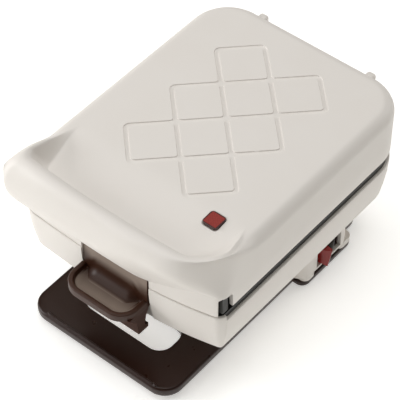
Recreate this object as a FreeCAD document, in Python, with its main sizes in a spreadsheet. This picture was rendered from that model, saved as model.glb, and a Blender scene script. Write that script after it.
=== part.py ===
import FreeCAD, Part
import math
import os
import re
import Sketcher
from FreeCAD import Placement, Rotation, Vector

# Compact press-type donut maker, as a parametric document.
# Frame: +X right, +Y to the rear (hinge side), +Z up. The origin lies on the table,
# under the middle of the overall length and width. All sizes are millimetres.

SIZES = {
    # overall
    "body_width": 150.0,
    "overall_length": 217.0,
    "wall": 2.5,
    # heights above the table
    "foot_height": 2.0,
    "bottom_plate_height": 9.0,
    "pedestal_height": 25.0,
    "tub_height": 31.9,
    "slot_height": 4.1,
    "lid_height": 42.0,
    "lip_rise": 9.4,
    # plan of tub and lid
    "latch_reach": 19.3,
    "rear_reach": 4.0,
    "bow_depth": 10.4,
    "front_corner": 7.0,
    "rear_corner": 28.0,
    "edge_round": 8.0,
    "rim_step": 1.9,
    "front_rim": 1.5,
    "slot_front": 15.7,
    # lip over the front
    "lip_reach": 11.8,
    "lip_corner": 10.0,
    "lip_bow_depth": 3.7,
    "lip_depth": 39.0,
    "lip_rim": 11.0,
    "skirt_height": 6.0,
    # upright standing feet moulded on the lid
    "stand_foot_x": 42.0,
    "stand_foot_width": 6.4,
    "stand_foot_height": 30.0,
    # plates
    "flange": 1.8,
    "ring_major": 18.5,
    "ring_minor": 10.0,
    "plate_skin": 1.6,
    "ring_pitch_x": 66.0,
    "ring_pitch_y": 72.0,
    "ring_centre_y": 6.0,
    # heaters and reflectors
    "heater_radius": 3.25,
    "heater_span": 80.0,
    "heater_drop": 17.5,
    "heater_rear": 28.7,
    "cold_end": 11.0,
    "bend_front": 25.0,
    "reflector_sheet": 0.8,
    "reflector_half": 66.0,
    "reflector_depth": 12.0,
    "reflector_drop": 26.0,
    # hinge
    "hinge_x": 30.0,
    "hinge_below_rim": 3.9,
    "hinge_inset": 1.0,
    "pin_radius": 1.5,
    "knuckle_radius": 3.4,
    "knuckle_width": 8.0,
    "ear_width": 3.5,
    "side_gap": 0.8,
    "running_gap": 0.05,
    # latch
    "latch_width": 51.0,
    "latch_gap": 1.5,
    "latch_plate": 4.0,
    "latch_setback": 0.4,
    "latch_pin_radius": 1.0,
    "latch_pin_inset": 4.0,
    "latch_pin_rise": 3.9,
    "latch_head": 1.8,
    "latch_recess": 5.7,
    "tray_rim_z": 61.0,
    "tray_height": 5.6,
    "tray_dish": 2.6,
    "tray_wall": 3.0,
    "tray_corner": 13.0,
    "leg_toe": 4.8,
    "leg_bottom": 34.6,
    # carrying handle and bottom plate
    "handle_setback": 4.0,
    "handle_bar": 20.0,
    "handle_width": 109.2,
    "handle_opening": 66.0,
    "opening_depth": 24.0,
    "handle_corner": 10.0,
    "plate_inset_rear": 18.5,
    "plate_skin_bottom": 2.4,
    "foot_radius": 6.0,
    "foot_x": 45.0,
    # lower housing and switch
    "pedestal_half": 52.0,
    "pedestal_inset_front": 33.2,
    "pedestal_inset_rear": 20.5,
    "switch_bulge": 64.5,
    "switch_inset": 42.8,
    "switch_length": 24.8,
    "bulge_length": 50.0,
    "switch_height": 14.0,
    "switch_floor": 1.6,
    "rocker_width": 18.0,
    "rocker_height": 11.0,
    "rocker_gap": 0.5,
    "rocker_tilt": 2.6,
    "pivot_radius": 0.65,
    "bezel_wall": 1.2,
    # indicator
    "lens_x": 46.3,
    "lens_inset": 37.7,
    "lens_side": 10.5,
    "lens_proud": 0.5,
    "lens_gap": 0.3,
    # plate release buttons
    "button_width": 4.6,
    "button_height": 8.0,
    "lid_button_height": 13.0,
    "lid_button_rise": 2.6,
    "button_length": 11.6,
    "button_behind_corner": 4.2,
    "button_travel": 2.5,
    "button_gap": 0.6,
    "spring_wire": 0.45,
    "spring_radius": 2.0,
    "rib_x": 54.0,
    "rib_thickness": 2.0,
    # cord entry and fasteners
    "gland_radius": 5.5,
    "gland_bore": 3.2,
    "gland_length": 9.0,
    "screw_radius": 1.5,
    "screw_head": 2.8,
    "boss_radius": 4.0,
    "boss_x": 48.0,
    "screw_x": 38.0,
    "wire_radius": 1.1,
}

doc = FreeCAD.newDocument("donut_maker")
sheet = doc.addObject("Spreadsheet::Sheet", "Sizes")
for row, (alias, number) in enumerate(SIZES.items(), start=1):
    sheet.set(f"A{row}", alias)
    sheet.set(f"B{row}", str(number))
    sheet.setAlias(f"B{row}", alias)
doc.recompute()

# Places that several pieces share, written in the sheet's own names.
HALF = "body_width / 2"
FRONT = "(latch_reach - overall_length / 2)"
REAR = "(overall_length / 2 - rear_reach)"
PLATE_TOP = "(foot_height + bottom_plate_height)"
TUB_FLOOR = "(foot_height + bottom_plate_height + pedestal_height)"
TUB_RIM = f"({TUB_FLOOR} + tub_height)"
LID_RIM = f"({TUB_RIM} + slot_height)"
LID_TOP = f"({LID_RIM} + lid_height)"
CREST = f"({LID_TOP} + lip_rise)"
SLOT_START = f"({FRONT} + slot_front)"
FLANGE_LOW = TUB_RIM
FLANGE_HIGH = f"({LID_RIM} - flange)"
HINGE_Y = f"({REAR} - hinge_inset)"
HINGE_Z = f"({TUB_RIM} - hinge_below_rim)"
LATCH_FRONT = f"({FRONT} - latch_setback)"
LATCH_PIN_Y = f"({FRONT} + latch_pin_inset)"
LATCH_PIN_Z = f"({LID_RIM} + latch_pin_rise)"
RELEASE_Y = f"({FRONT} + bow_depth + button_behind_corner)"
BOW = f"(({HALF})^2 + bow_depth^2) / (2 * bow_depth)"
LIP_BOW = f"(({HALF})^2 + lip_bow_depth^2) / (2 * lip_bow_depth)"
HANDLE_FRONT = "(handle_setback - overall_length / 2)"
PEDESTAL_FRONT = f"({FRONT} + pedestal_inset_front)"
PEDESTAL_REAR = f"({REAR} - pedestal_inset_rear)"
PLATE_REAR = f"({REAR} - plate_inset_rear)"
SWITCH_Y = f"({PEDESTAL_REAR} - switch_inset)"
LENS_Y = f"({FRONT} + lens_inset)"
HEATER_BEND = f"({FRONT} + bend_front + heater_span / 2)"
HEATER_STRAIGHT = f"({REAR} - heater_rear - {HEATER_BEND})"
REFLECTOR_LOW = f"({TUB_RIM} - reflector_drop)"
REFLECTOR_HIGH = f"({LID_RIM} + reflector_drop)"
TUB_INSIDE = f"({TUB_FLOOR} + wall)"
POST_FRONT = f"({FRONT} + 29.2)"
LID_POST_FRONT = f"({FRONT} + 69.2)"
POST_REAR = f"({REAR} - 30.5)"

SUB_PARTS = []


def ex(text):
    """Write a formula in the sheet's names as an expression."""
    def name(match):
        word = match.group(0)
        return "Sizes." + word if word in SIZES else word
    return re.sub(r"[a-z][a-z_0-9]*", name, str(text))


def value(text):
    """Number that a formula in the sheet's names has now."""
    return float(sheet.evalExpression(ex(text)))


def add(kind, name):
    return doc.addObject(kind, name)


def place(obj, x, y, z, rotation=None):
    if rotation:
        obj.Placement = Placement(Vector(0, 0, 0), rotation)
    for axis, text in zip("xyz", (x, y, z)):
        obj.setExpression(f".Placement.Base.{axis}", ex(text))
    return obj


def box(name, x, y, z):
    """Box between two formulas on each axis."""
    obj = add("Part::Box", name)
    for prop, (low, high) in zip(("Length", "Width", "Height"), (x, y, z)):
        obj.setExpression(prop, ex(f"({high}) - ({low})"))
    return place(obj, x[0], y[0], z[0])


def cylinder(name, x, y, z, radius, length, axis="z"):
    """Cylinder that starts at a point and runs along +X, +Y or +Z."""
    turn = {"x": Rotation(Vector(0, 1, 0), 90), "y": Rotation(Vector(1, 0, 0), -90), "z": None}
    obj = add("Part::Cylinder", name)
    obj.setExpression("Radius", ex(radius))
    obj.setExpression("Height", ex(length))
    return place(obj, x, y, z, turn[axis])


def fuse(name, *shapes):
    obj = add("Part::MultiFuse", name)
    obj.Shapes = list(shapes)
    return obj


def group(name, *shapes):
    """Separate solids of one node."""
    obj = add("Part::Compound", name)
    obj.Links = list(shapes)
    return obj


def common(name, first, second):
    obj = add("Part::MultiCommon", name)
    obj.Shapes = [first, second]
    return obj


def cut(name, base, *tools):
    obj = add("Part::Cut", name)
    obj.Base = base
    obj.Tool = tools[0] if len(tools) == 1 else fuse(name + "_cuts", *tools)
    return obj


def done(label, obj):
    """Mark an object as a finished sub-part."""
    obj.Label = label
    SUB_PARTS.append(obj)
    return obj


def mirrored(name, make):
    """A pair of pieces, left and right of the middle plane."""
    return [make(f"{name}_{side}", sign) for side, sign in (("left", -1), ("right", 1))]


def span(centre, width):
    return (f"{centre} - ({width}) / 2", f"{centre} + ({width}) / 2")


def side_span(sign, inner, outer):
    """The stretch from inner to outer on one side of the middle plane."""
    return (inner, outer) if sign > 0 else (f"-({outer})", f"-({inner})")


def sketch_on(body, role, name, height="0"):
    """Sketch on one of the body's own planes, shifted along its normal."""
    sketch = body.newObject("Sketcher::SketchObject", name)
    plane = [item for item in body.Origin.OriginFeatures if item.Role == role][0]
    sketch.AttachmentSupport = [(plane, "")]
    sketch.MapMode = "FlatFace"
    sketch.setExpression(".AttachmentOffset.Base.z", ex(height))
    return sketch


def fix(sketch, text, *constraint):
    """Add a dimension and bind it to a formula."""
    index = sketch.addConstraint(Sketcher.Constraint(*constraint, value(text)))
    sketch.setExpression(f"Constraints[{index}]", ex(text))


def tub_outline(sketch, half, front, rear, bow, front_radius, rear_radius):
    """Closed outline with a bowed front edge, straight sides and four round corners."""
    w, f, r, big, rf, rr = [value(t) for t in (half, front, rear, bow, front_radius, rear_radius)]
    bow_centre = f + big
    corner_y = bow_centre - math.sqrt((big - rf) ** 2 - (w - rf) ** 2)
    lean = math.atan2(bow_centre - corner_y, w - rf)
    up = Vector(0, 0, 1)

    def arc(x, y, radius, start, end):
        return Part.ArcOfCircle(Part.Circle(Vector(x, y, 0), up, radius), start, end)

    def line(x0, y0, x1, y1):
        return Part.LineSegment(Vector(x0, y0, 0), Vector(x1, y1, 0))

    quarter = math.pi / 2
    sketch.addGeometry([
        arc(0, bow_centre, big, lean - math.pi, -lean),
        arc(w - rf, corner_y, rf, -lean, 0),
        line(w, corner_y, w, r - rr),
        arc(w - rr, r - rr, rr, 0, quarter),
        line(w - rr, r, rr - w, r),
        arc(rr - w, r - rr, rr, quarter, 2 * quarter),
        line(-w, r - rr, -w, corner_y),
        arc(rf - w, corner_y, rf, math.pi, math.pi + lean),
    ], False)
    for item in range(8):
        sketch.addConstraint(Sketcher.Constraint("Tangent", item, 2, (item + 1) % 8, 1))
    sketch.addConstraint(Sketcher.Constraint("PointOnObject", 0, 3, -2))
    for item, text in ((0, bow), (1, front_radius), (3, rear_radius), (5, rear_radius), (7, front_radius)):
        fix(sketch, text, "Radius", item)
    fix(sketch, f"{front} + ({bow})", "DistanceY", -1, 1, 0, 3)
    fix(sketch, half, "DistanceX", -1, 1, 2, 1)
    fix(sketch, f"-({half})", "DistanceX", -1, 1, 6, 1)
    fix(sketch, rear, "DistanceY", -1, 1, 4, 1)


def polygon_outline(sketch, points):
    """Closed polygon whose corners are formulas."""
    corners = [Vector(value(x), value(y), 0) for x, y in points]
    count = len(corners)
    sketch.addGeometry([Part.LineSegment(corners[i], corners[(i + 1) % count]) for i in range(count)], False)
    for item in range(count):
        sketch.addConstraint(Sketcher.Constraint("Coincident", item, 2, (item + 1) % count, 1))
    for item, (x, y) in enumerate(points):
        fix(sketch, x, "DistanceX", -1, 1, item, 1)
        fix(sketch, y, "DistanceY", -1, 1, item, 1)


def pad_body(name, role, offset, length, draw, midplane=False):
    """Body with one sketch and one pad."""
    body = add("PartDesign::Body", name)
    sketch = sketch_on(body, role, name + "_sketch", offset)
    draw(sketch)
    pad = body.newObject("PartDesign::Pad", name + "_pad")
    pad.Profile = sketch
    pad.Midplane = midplane
    pad.setExpression("Length", ex(length))
    sketch.Visibility = False
    return body


def round_edges(body, name, radius, wanted):
    """Fillet every edge of the body that the test picks."""
    doc.recompute()
    tip = body.Tip
    edges = [f"Edge{n}" for n, edge in enumerate(tip.Shape.Edges, start=1) if wanted(edge)]
    fillet = body.newObject("PartDesign::Fillet", name)
    fillet.Base = (tip, edges)
    fillet.setExpression("Radius", ex(radius))
    return body


def at_height(text):
    level = value(text)
    return lambda edge: abs(edge.BoundBox.ZMin - level) < 0.01 and abs(edge.BoundBox.ZMax - level) < 0.01


def upright(low, high):
    """Edges that run up from one height to another."""
    bottom, top = value(low), value(high)
    return lambda edge: abs(edge.BoundBox.ZMin - bottom) < 0.01 and abs(edge.BoundBox.ZMax - top) < 0.01


def tub_solid(name, inset, low, high):
    """Solid with the plan of the tub and lid, drawn in by an inset."""
    def draw(sketch):
        tub_outline(sketch, f"{HALF} - ({inset})", f"{FRONT} + ({inset})", f"{REAR} - ({inset})",
                    f"{BOW} - ({inset})", f"front_corner - ({inset})", f"rear_corner - ({inset})")
    return pad_body(name, "XY_Plane", low, f"({high}) - ({low})", draw)


def round_slab(name, x, y, z, corner):
    """Box with round upright corners."""
    def draw(sketch):
        polygon_outline(sketch, [(x[0], y[0]), (x[1], y[0]), (x[1], y[1]), (x[0], y[1])])
    body = pad_body(name, "XY_Plane", z[0], f"({z[1]}) - ({z[0]})", draw)
    return round_edges(body, name + "_corners", corner, upright(z[0], z[1]))


# ---------------------------------------------------------------- base tub

def hinge_ears(name, sign):
    """Two ears that hold one hinge pin, on the tub's rear wall."""
    inner = "hinge_x - knuckle_width / 2 - side_gap"
    outer = "hinge_x + knuckle_width / 2 + side_gap"
    ears = []
    for place_name, low, high in (("in", f"{inner} - ear_width", inner), ("out", outer, f"{outer} + ear_width")):
        ears.append(box(f"{name}_{place_name}", side_span(sign, low, high),
                        (f"{HINGE_Y} - 5.5", f"{HINGE_Y} + 2.6"), (f"{HINGE_Z} - 5", f"{HINGE_Z} + 3.4")))
    return fuse(name, *ears)


def hinge_pocket(name, sign):
    """Room in the rear wall for one lid arm."""
    low = "hinge_x - knuckle_width / 2 - side_gap"
    high = "hinge_x + knuckle_width / 2 + side_gap"
    return box(name, side_span(sign, low, high), (f"{REAR} - wall - 0.1", f"{REAR} + 0.1"),
               (f"{HINGE_Z} - knuckle_radius - 1", f"{TUB_RIM} + 1"))


def make_base_tub():
    outer = round_edges(tub_solid("tub_outer", "0", TUB_FLOOR, TUB_RIM), "tub_bottom_round",
                        "edge_round", at_height(TUB_FLOOR))
    inner = round_edges(tub_solid("tub_inner", "wall", f"{TUB_FLOOR} + wall", f"{TUB_RIM} + 1"),
                        "tub_inner_round", "edge_round - wall", at_height(f"{TUB_FLOOR} + wall"))
    shell = cut("tub_shell", outer, inner)
    ring = cut("tub_front_ring",
               tub_solid("tub_ring_outer", "0", TUB_RIM, f"{LID_RIM} - 0.4"),
               tub_solid("tub_ring_inner", "front_rim", f"{TUB_RIM} - 1", LID_RIM))
    ahead = box("tub_front_zone", (f"-{HALF} - 1", f"{HALF} + 1"), (f"{FRONT} - 1", SLOT_START),
                (f"{TUB_RIM} - 0.5", LID_RIM))
    front_rim = common("tub_front_rim", ring, ahead)
    cut_half = "(latch_width / 2 + latch_gap)"
    recess_back = box("tub_recess_back", (f"-{cut_half} - wall", f"{cut_half} + wall"),
                      (f"{FRONT} + latch_recess", f"{FRONT} + latch_recess + wall"),
                      (f"{TUB_FLOOR} + 0.2", TUB_RIM))
    cheeks = mirrored("tub_recess_cheek", lambda name, sign: box(
        name, side_span(sign, cut_half, f"{cut_half} + wall"),
        (f"{FRONT} + wall", f"{FRONT} + latch_recess + wall"), (f"{TUB_FLOOR} + 0.2", TUB_RIM)))
    cheek_zone = tub_solid("tub_cheek_zone", "wall / 2", TUB_FLOOR, TUB_RIM)
    inside = common("tub_recess", fuse("tub_recess_parts", recess_back, *cheeks), cheek_zone)
    cut_out = box("tub_cut_out", (f"-{cut_half}", cut_half), (f"{FRONT} - 1", f"{FRONT} + latch_recess"),
                  (f"{TUB_FLOOR} - 1", f"{LID_RIM} + 1"))
    ears = mirrored("tub_hinge_ears", hinge_ears)
    posts = [cylinder(f"reflector_post_{i}", f"{sign} * boss_x", y, f"{TUB_FLOOR} + wall / 2", "boss_radius",
                      f"{REFLECTOR_LOW} - ({TUB_FLOOR} + wall / 2)")
             for i, (sign, y) in enumerate(((-1, POST_FRONT), (1, POST_FRONT), (-1, POST_REAR), (1, POST_REAR)))]
    bosses = [cylinder(f"screw_boss_{i}", x, y, PLATE_TOP, "boss_radius", f"pedestal_height + wall / 2")
              for i, (x, y) in enumerate(SCREWS)]
    screw_bores = [cylinder(f"screw_bore_{i}", x, y, f"{PLATE_TOP} - 1", "screw_radius + running_gap", "14")
                   for i, (x, y) in enumerate(SCREWS)]
    rib = box("tub_spring_rib", side_span(-1, "rib_x - rib_thickness", "rib_x"), span(RELEASE_Y, "button_width + 1.5"),
              (f"{TUB_FLOOR} + wall / 2", f"{TUB_RIM} - 1"))
    body = fuse("tub_body", shell, front_rim, inside, *ears, *posts, *bosses, rib)
    pockets = mirrored("tub_hinge_pocket", hinge_pocket)
    bores = mirrored("tub_pin_bore", lambda name, sign: cylinder(
        name, f"{sign} * hinge_x - 15", HINGE_Y, HINGE_Z, "pin_radius + running_gap", "30", "x"))
    button_hole = box("tub_button_hole", side_span(-1, f"{HALF} - 2 * wall", f"{HALF} + 1"),
                      span(RELEASE_Y, "button_width + 2 * button_gap"),
                      (f"{TUB_RIM} - 1 - button_height - button_gap", f"{TUB_RIM} - 1 + button_gap"))
    wire_hole = cylinder("tub_wire_hole", "0", "60", f"{TUB_FLOOR} - 1", "6", "6")
    done("base_tub", cut("base_tub", body, cut_out, *pockets, *bores, *screw_bores, button_hole,
                         wire_hole))


# ---------------------------------------------------------------- lower housing, bottom plate, switch

def switch_block(name, inset, low, high):
    """The bulge of the lower housing round the switch."""
    return round_slab(name, ("0", f"switch_bulge - ({inset})"),
                      span(f"{SWITCH_Y} - 2.2", f"bulge_length - 2 * ({inset})"), (low, high), f"9 - ({inset})")


def make_lower_housing():
    x = ("-pedestal_half", "pedestal_half")
    y = (PEDESTAL_FRONT, PEDESTAL_REAR)
    outer = fuse("housing_outer", round_slab("housing_block", x, y, (PLATE_TOP, TUB_FLOOR), "14"),
                 switch_block("housing_bulge", "0", PLATE_TOP, TUB_FLOOR))
    low, high = f"{PLATE_TOP} - 1", f"{TUB_FLOOR} + 1"
    x_in = ("wall - pedestal_half", "pedestal_half - wall")
    y_in = (f"{PEDESTAL_FRONT} + wall", f"{PEDESTAL_REAR} - wall")
    inner = fuse("housing_inner", round_slab("housing_hollow", x_in, y_in, (low, high), "14 - wall"),
                 switch_block("housing_bulge_hollow", "wall", low, high))
    window = box("switch_window", ("switch_bulge - 12", "switch_bulge + 1"), span(SWITCH_Y, "switch_length"),
                 (f"{PLATE_TOP} + switch_floor", f"{PLATE_TOP} + switch_floor + switch_height"))
    gland_hole = cylinder("gland_hole", "-22", f"{PEDESTAL_REAR} - 6", f"{PLATE_TOP} + 11",
                          "gland_radius - 1.5 + running_gap", "10", "y")
    shell = cut("housing_shell", outer, inner)
    done("lower_housing", cut("lower_housing", shell, window, gland_hole))


def make_bottom_plate():
    """Flat base plate that runs forward into the carrying handle."""
    x = ("-handle_width / 2", "handle_width / 2")
    z = ("foot_height", PLATE_TOP)
    slab = round_slab("plate_slab", x, (HANDLE_FRONT, PLATE_REAR), z, "handle_corner")
    ear = round_slab("plate_switch_ear", ("0", "switch_bulge"), span(f"{SWITCH_Y} - 2.2", "bulge_length"), z, "9")
    opening = round_slab("handle_opening", ("-handle_opening / 2", "handle_opening / 2"),
                         (f"{HANDLE_FRONT} + handle_bar", f"{HANDLE_FRONT} + handle_bar + opening_depth"),
                         ("foot_height - 1", f"{PLATE_TOP} + 1"), "handle_corner - 1")
    skin_z = ("foot_height - 1", f"{PLATE_TOP} - plate_skin_bottom")
    bar_hollow = round_slab("handle_bar_hollow", ("-handle_opening / 2", "handle_opening / 2"),
                            (f"{HANDLE_FRONT} + plate_skin_bottom",
                             f"{HANDLE_FRONT} + handle_bar - plate_skin_bottom"), skin_z, "3")
    hollow_half = "(foot_x - foot_radius - plate_skin_bottom)"
    rear_hollow = round_slab("plate_hollow", (f"-{hollow_half}", hollow_half),
                             (f"{HANDLE_FRONT} + handle_bar + opening_depth + plate_skin_bottom",
                              f"{PLATE_REAR} - plate_skin_bottom"), skin_z, "3")
    screw_holes = [cylinder(f"plate_screw_hole_{i}", x0, y0, "foot_height", "screw_radius + running_gap",
                            "bottom_plate_height + 1")
                   for i, (x0, y0) in enumerate(SCREWS)]
    head_wells = [cylinder(f"plate_screw_well_{i}", x0, y0, "foot_height - 1", "screw_head + 0.3",
                           "bottom_plate_height - 2")
                  for i, (x0, y0) in enumerate(SCREWS)]
    vent = round_slab("plate_vent", ("-10", "10"), ("58", "62"), ("foot_height - 1", f"{PLATE_TOP} + 1"), "1.9")
    done("bottom_plate", cut("bottom_plate", fuse("plate_body", slab, ear), opening, bar_hollow, rear_hollow,
                             *screw_holes, *head_wells, vent))


SCREWS = [(x, y) for y in (f"{PEDESTAL_FRONT} + 10", f"{PEDESTAL_REAR} - 10") for x in ("-screw_x", "screw_x")]
FEET = [(x, y) for y in (f"{HANDLE_FRONT} + foot_radius + 4", f"{PLATE_REAR} - foot_radius - 16")
        for x in ("-foot_x", "foot_x")]


def make_feet_and_screws():
    feet = [cylinder(f"foot_{i}", x, y, "0", "foot_radius", "foot_height") for i, (x, y) in enumerate(FEET)]
    done("rubber_feet", group("rubber_feet", *feet))
    screws = []
    for i, (x, y) in enumerate(SCREWS):
        head = cylinder(f"screw_head_{i}", x, y, f"{PLATE_TOP} - 5", "screw_head", "2")
        shank = cylinder(f"screw_shank_{i}", x, y, f"{PLATE_TOP} - 5", "screw_radius", "14")
        screws.append(fuse(f"base_screw_{i}", head, shank))
    done("base_screws", group("base_screws", *screws))


def make_switch():
    y = span(SWITCH_Y, "switch_length - 2 * rocker_gap")
    z = (f"{PLATE_TOP} + switch_floor + rocker_gap", f"{PLATE_TOP} + switch_floor + switch_height - rocker_gap")
    outer = box("bezel_outer", ("switch_bulge - 10", "switch_bulge - 2.2"), y, z)
    inner = box("bezel_inner", ("switch_bulge - 11", "switch_bulge"),
                (f"{y[0]} + bezel_wall", f"{y[1]} - bezel_wall"),
                (f"{z[0]} + bezel_wall", f"{z[1]} - bezel_wall"))
    done("switch_bezel", cut("switch_bezel", outer, inner))
    case = box("switch_case", ("switch_bulge - 24", "switch_bulge - 10"), y, z)
    yokes = [box(f"switch_yoke_{i}", ("switch_bulge - 10", "switch_bulge - 6.5"), span(SWITCH_Y, "3"), side)
             for i, side in enumerate(((f"{z[0]} + bezel_wall + 0.1", f"{z[0]} + bezel_wall + 0.1 + 1"),
                                       (f"{z[1]} - bezel_wall - 0.1 - 1", f"{z[1]} - bezel_wall - 0.1")))]
    bore = cylinder("switch_yoke_bore", "switch_bulge - 8", SWITCH_Y, z[0], "pivot_radius + running_gap",
                    "switch_height")
    done("switch_body", cut("switch_body", fuse("switch_parts", case, *yokes), bore))
    # Rocker: a shallow V in plan, its front half standing out.
    half = "rocker_width / 2"
    face = "switch_bulge - 3.4"
    points = [(f"{face} + rocker_tilt", f"{SWITCH_Y} - {half}"), (face, f"{SWITCH_Y} + 1"),
              (f"{face} - 0.6", f"{SWITCH_Y} + {half}"), ("switch_bulge - 7.4", f"{SWITCH_Y} + {half}"),
              ("switch_bulge - 9.6", f"{SWITCH_Y} + 1"), ("switch_bulge - 9.6", f"{SWITCH_Y} - 1"),
              ("switch_bulge - 5", f"{SWITCH_Y} - {half}")]
    middle = f"({z[0]} + {z[1]}) / 2"
    key = "(rocker_height - 3.4)"
    rocker = pad_body("rocker_block", "XY_Plane", f"{middle} - {key} / 2", key,
                      lambda sketch: polygon_outline(sketch, points))
    pin = "(rocker_height - 0.6)"
    pivot = cylinder("rocker_pivot", "switch_bulge - 8", SWITCH_Y, f"{middle} - {pin} / 2", "pivot_radius", pin)
    done("rocker", fuse("rocker", rocker, pivot))


# ---------------------------------------------------------------- electrical pieces

def make_electrics():
    terminal = box("terminal_body", ("-10", "12"), ("20", "32"), (PLATE_TOP, f"{PLATE_TOP} + 11"))
    slots = [box(f"terminal_slot_{i}", (f"{x}", f"{x} + 4"), ("19", "33"),
                 (f"{PLATE_TOP} + 5", f"{PLATE_TOP} + 8")) for i, x in enumerate((-8, -1, 6))]
    done("terminal_block", cut("terminal_block", terminal, *slots))
    gland_z = f"{PLATE_TOP} + 11"
    collar = cylinder("gland_collar", "-22", PEDESTAL_REAR, gland_z, "gland_radius", "gland_length", "y")
    inside = f"{PEDESTAL_REAR} - wall - 3"
    neck = cylinder("gland_neck", "-22", inside, gland_z, "gland_radius - 1.5", "wall + 4", "y")
    head = cylinder("gland_head", "-22", inside, gland_z, "gland_radius", "3", "y")
    hole = cylinder("gland_bore_cut", "-22", f"{PEDESTAL_REAR} - wall - 4", gland_z, "gland_bore",
                    "gland_length + wall + 6", "y")
    done("cord_gland", cut("cord_gland", fuse("gland_parts", collar, neck, head), hole))
    # Thermostat and thermal fuse hang under the lower reflector, in the tub.
    room = f"({REFLECTOR_LOW} - {TUB_INSIDE})"
    can = cylinder("thermostat_can", "0", "-14", f"{TUB_INSIDE} + 0.2", "7", f"{room} - 0.2")
    flange = box("thermostat_flange", ("-12", "12"), ("-17", "-11"), (f"{REFLECTOR_LOW} - 0.8", REFLECTOR_LOW))
    done("thermostat", fuse("thermostat", can, flange))
    fuse_can = cylinder("fuse_can", "-12", "30", f"{REFLECTOR_LOW} - {room} / 2 + 0.2", f"{room} / 2 - 0.3",
                        "24", "x")
    strap = box("fuse_strap", ("-3", "3"), ("27", "33"), (f"{TUB_INSIDE} + 0.4", REFLECTOR_LOW))
    done("thermal_fuse", fuse("thermal_fuse", fuse_can, strap))
    # Leads: straight stretches that meet at square corners, laid on the housing floor.
    low = f"{PLATE_TOP} + wire_radius"
    feed = cylinder("lead_feed", "-22", "35", low, "wire_radius", f"{PEDESTAL_REAR} - wall - 38.5", "y")
    cross = cylinder("lead_cross", "-22", "35", low, "wire_radius", "30", "x")
    branch = cylinder("lead_branch", "20", "44", low, "wire_radius", "switch_bulge - 45", "x")
    riser = cylinder("lead_riser", "0", "60", low, "wire_radius", f"{TUB_FLOOR} - {PLATE_TOP}")
    back = cylinder("lead_back", "0", "35", low, "wire_radius", "25", "y")
    done("base_leads", group("base_leads", fuse("lead_mains", feed, cross, back, riser), branch))


# ---------------------------------------------------------------- heaters, reflectors, plates

def make_heater(label, centre_z, end_sign):
    """U-shaped sheathed element with two cold ends that bend away from the plate."""
    half = "heater_span / 2"
    legs = mirrored(label + "_leg", lambda name, sign: cylinder(
        name, f"{sign} * {half}", HEATER_BEND, centre_z, "heater_radius", HEATER_STRAIGHT, "y"))
    bend = add("Part::Torus", label + "_bend")
    bend.setExpression("Radius1", ex(half))
    bend.setExpression("Radius2", ex("heater_radius"))
    bend.Angle3 = 180
    place(bend, "0", HEATER_BEND, centre_z, Rotation(Vector(0, 0, 1), 180))
    start = centre_z if end_sign > 0 else f"{centre_z} - cold_end"
    ends = mirrored(label + "_end", lambda name, sign: cylinder(
        name, f"{sign} * {half}", f"{HEATER_BEND} + {HEATER_STRAIGHT} - 2.4", start, "1.5", "cold_end"))
    done(label, fuse(label, bend, *legs, *ends))


def reflector(label, low, high, inner_low, inner_high, hole_z):
    """Pressed tray behind a heater, open towards the plate."""
    half = "reflector_half"
    y = (f"{FRONT} + 18.5", f"{REAR} - 14")
    outer = round_slab(label + "_outer", (f"-{half}", half), y, (low, high), "12")
    inner = round_slab(label + "_inner", (f"reflector_sheet - {half}", f"{half} - reflector_sheet"),
                       (f"{y[0]} + reflector_sheet", f"{y[1]} - reflector_sheet"), (inner_low, inner_high),
                       "12 - reflector_sheet")
    holes = mirrored(label + "_hole", lambda name, sign: cylinder(
        name, f"{sign} * heater_span / 2", f"{HEATER_BEND} + {HEATER_STRAIGHT} - 2.4", hole_z, "3", "6"))
    done(label, cut(label, outer, inner, *holes))


def heater_clips(label, low, high):
    """Two steel saddles between the reflector and the element."""
    clips = []
    for i, (x, y) in enumerate((("-heater_span / 2", "30"), ("heater_span / 2", "30"),
                                ("-heater_span / 2", "-14"), ("heater_span / 2", "-14"))):
        clips.append(box(f"{label}_{i}", span(x, "2"), span(y, "8"), (low, high)))
    done(label, group(label, *clips))


def make_heating():
    lower_z = f"({TUB_RIM} - heater_drop)"
    upper_z = f"({LID_RIM} + heater_drop)"
    low, high = REFLECTOR_LOW, REFLECTOR_HIGH
    make_heater("lower_heater", lower_z, -1)
    make_heater("upper_heater", upper_z, 1)
    reflector("lower_reflector", low, f"{low} + reflector_depth", f"{low} + reflector_sheet",
              f"{low} + reflector_depth + 1", f"{low} - 2")
    reflector("upper_reflector", f"{high} - reflector_depth", high, f"{high} - reflector_depth - 1",
              f"{high} - reflector_sheet", f"{high} - 3")
    heater_clips("lower_heater_clips", f"{low} + reflector_sheet", f"{lower_z} - heater_radius - 0.3")
    heater_clips("upper_heater_clips", f"{upper_z} + heater_radius + 0.3", f"{high} - reflector_sheet")


def torus(name, x, y, z, radius):
    obj = add("Part::Torus", name)
    obj.setExpression("Radius1", ex("ring_major"))
    obj.setExpression("Radius2", ex(radius))
    return place(obj, x, y, z)


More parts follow.
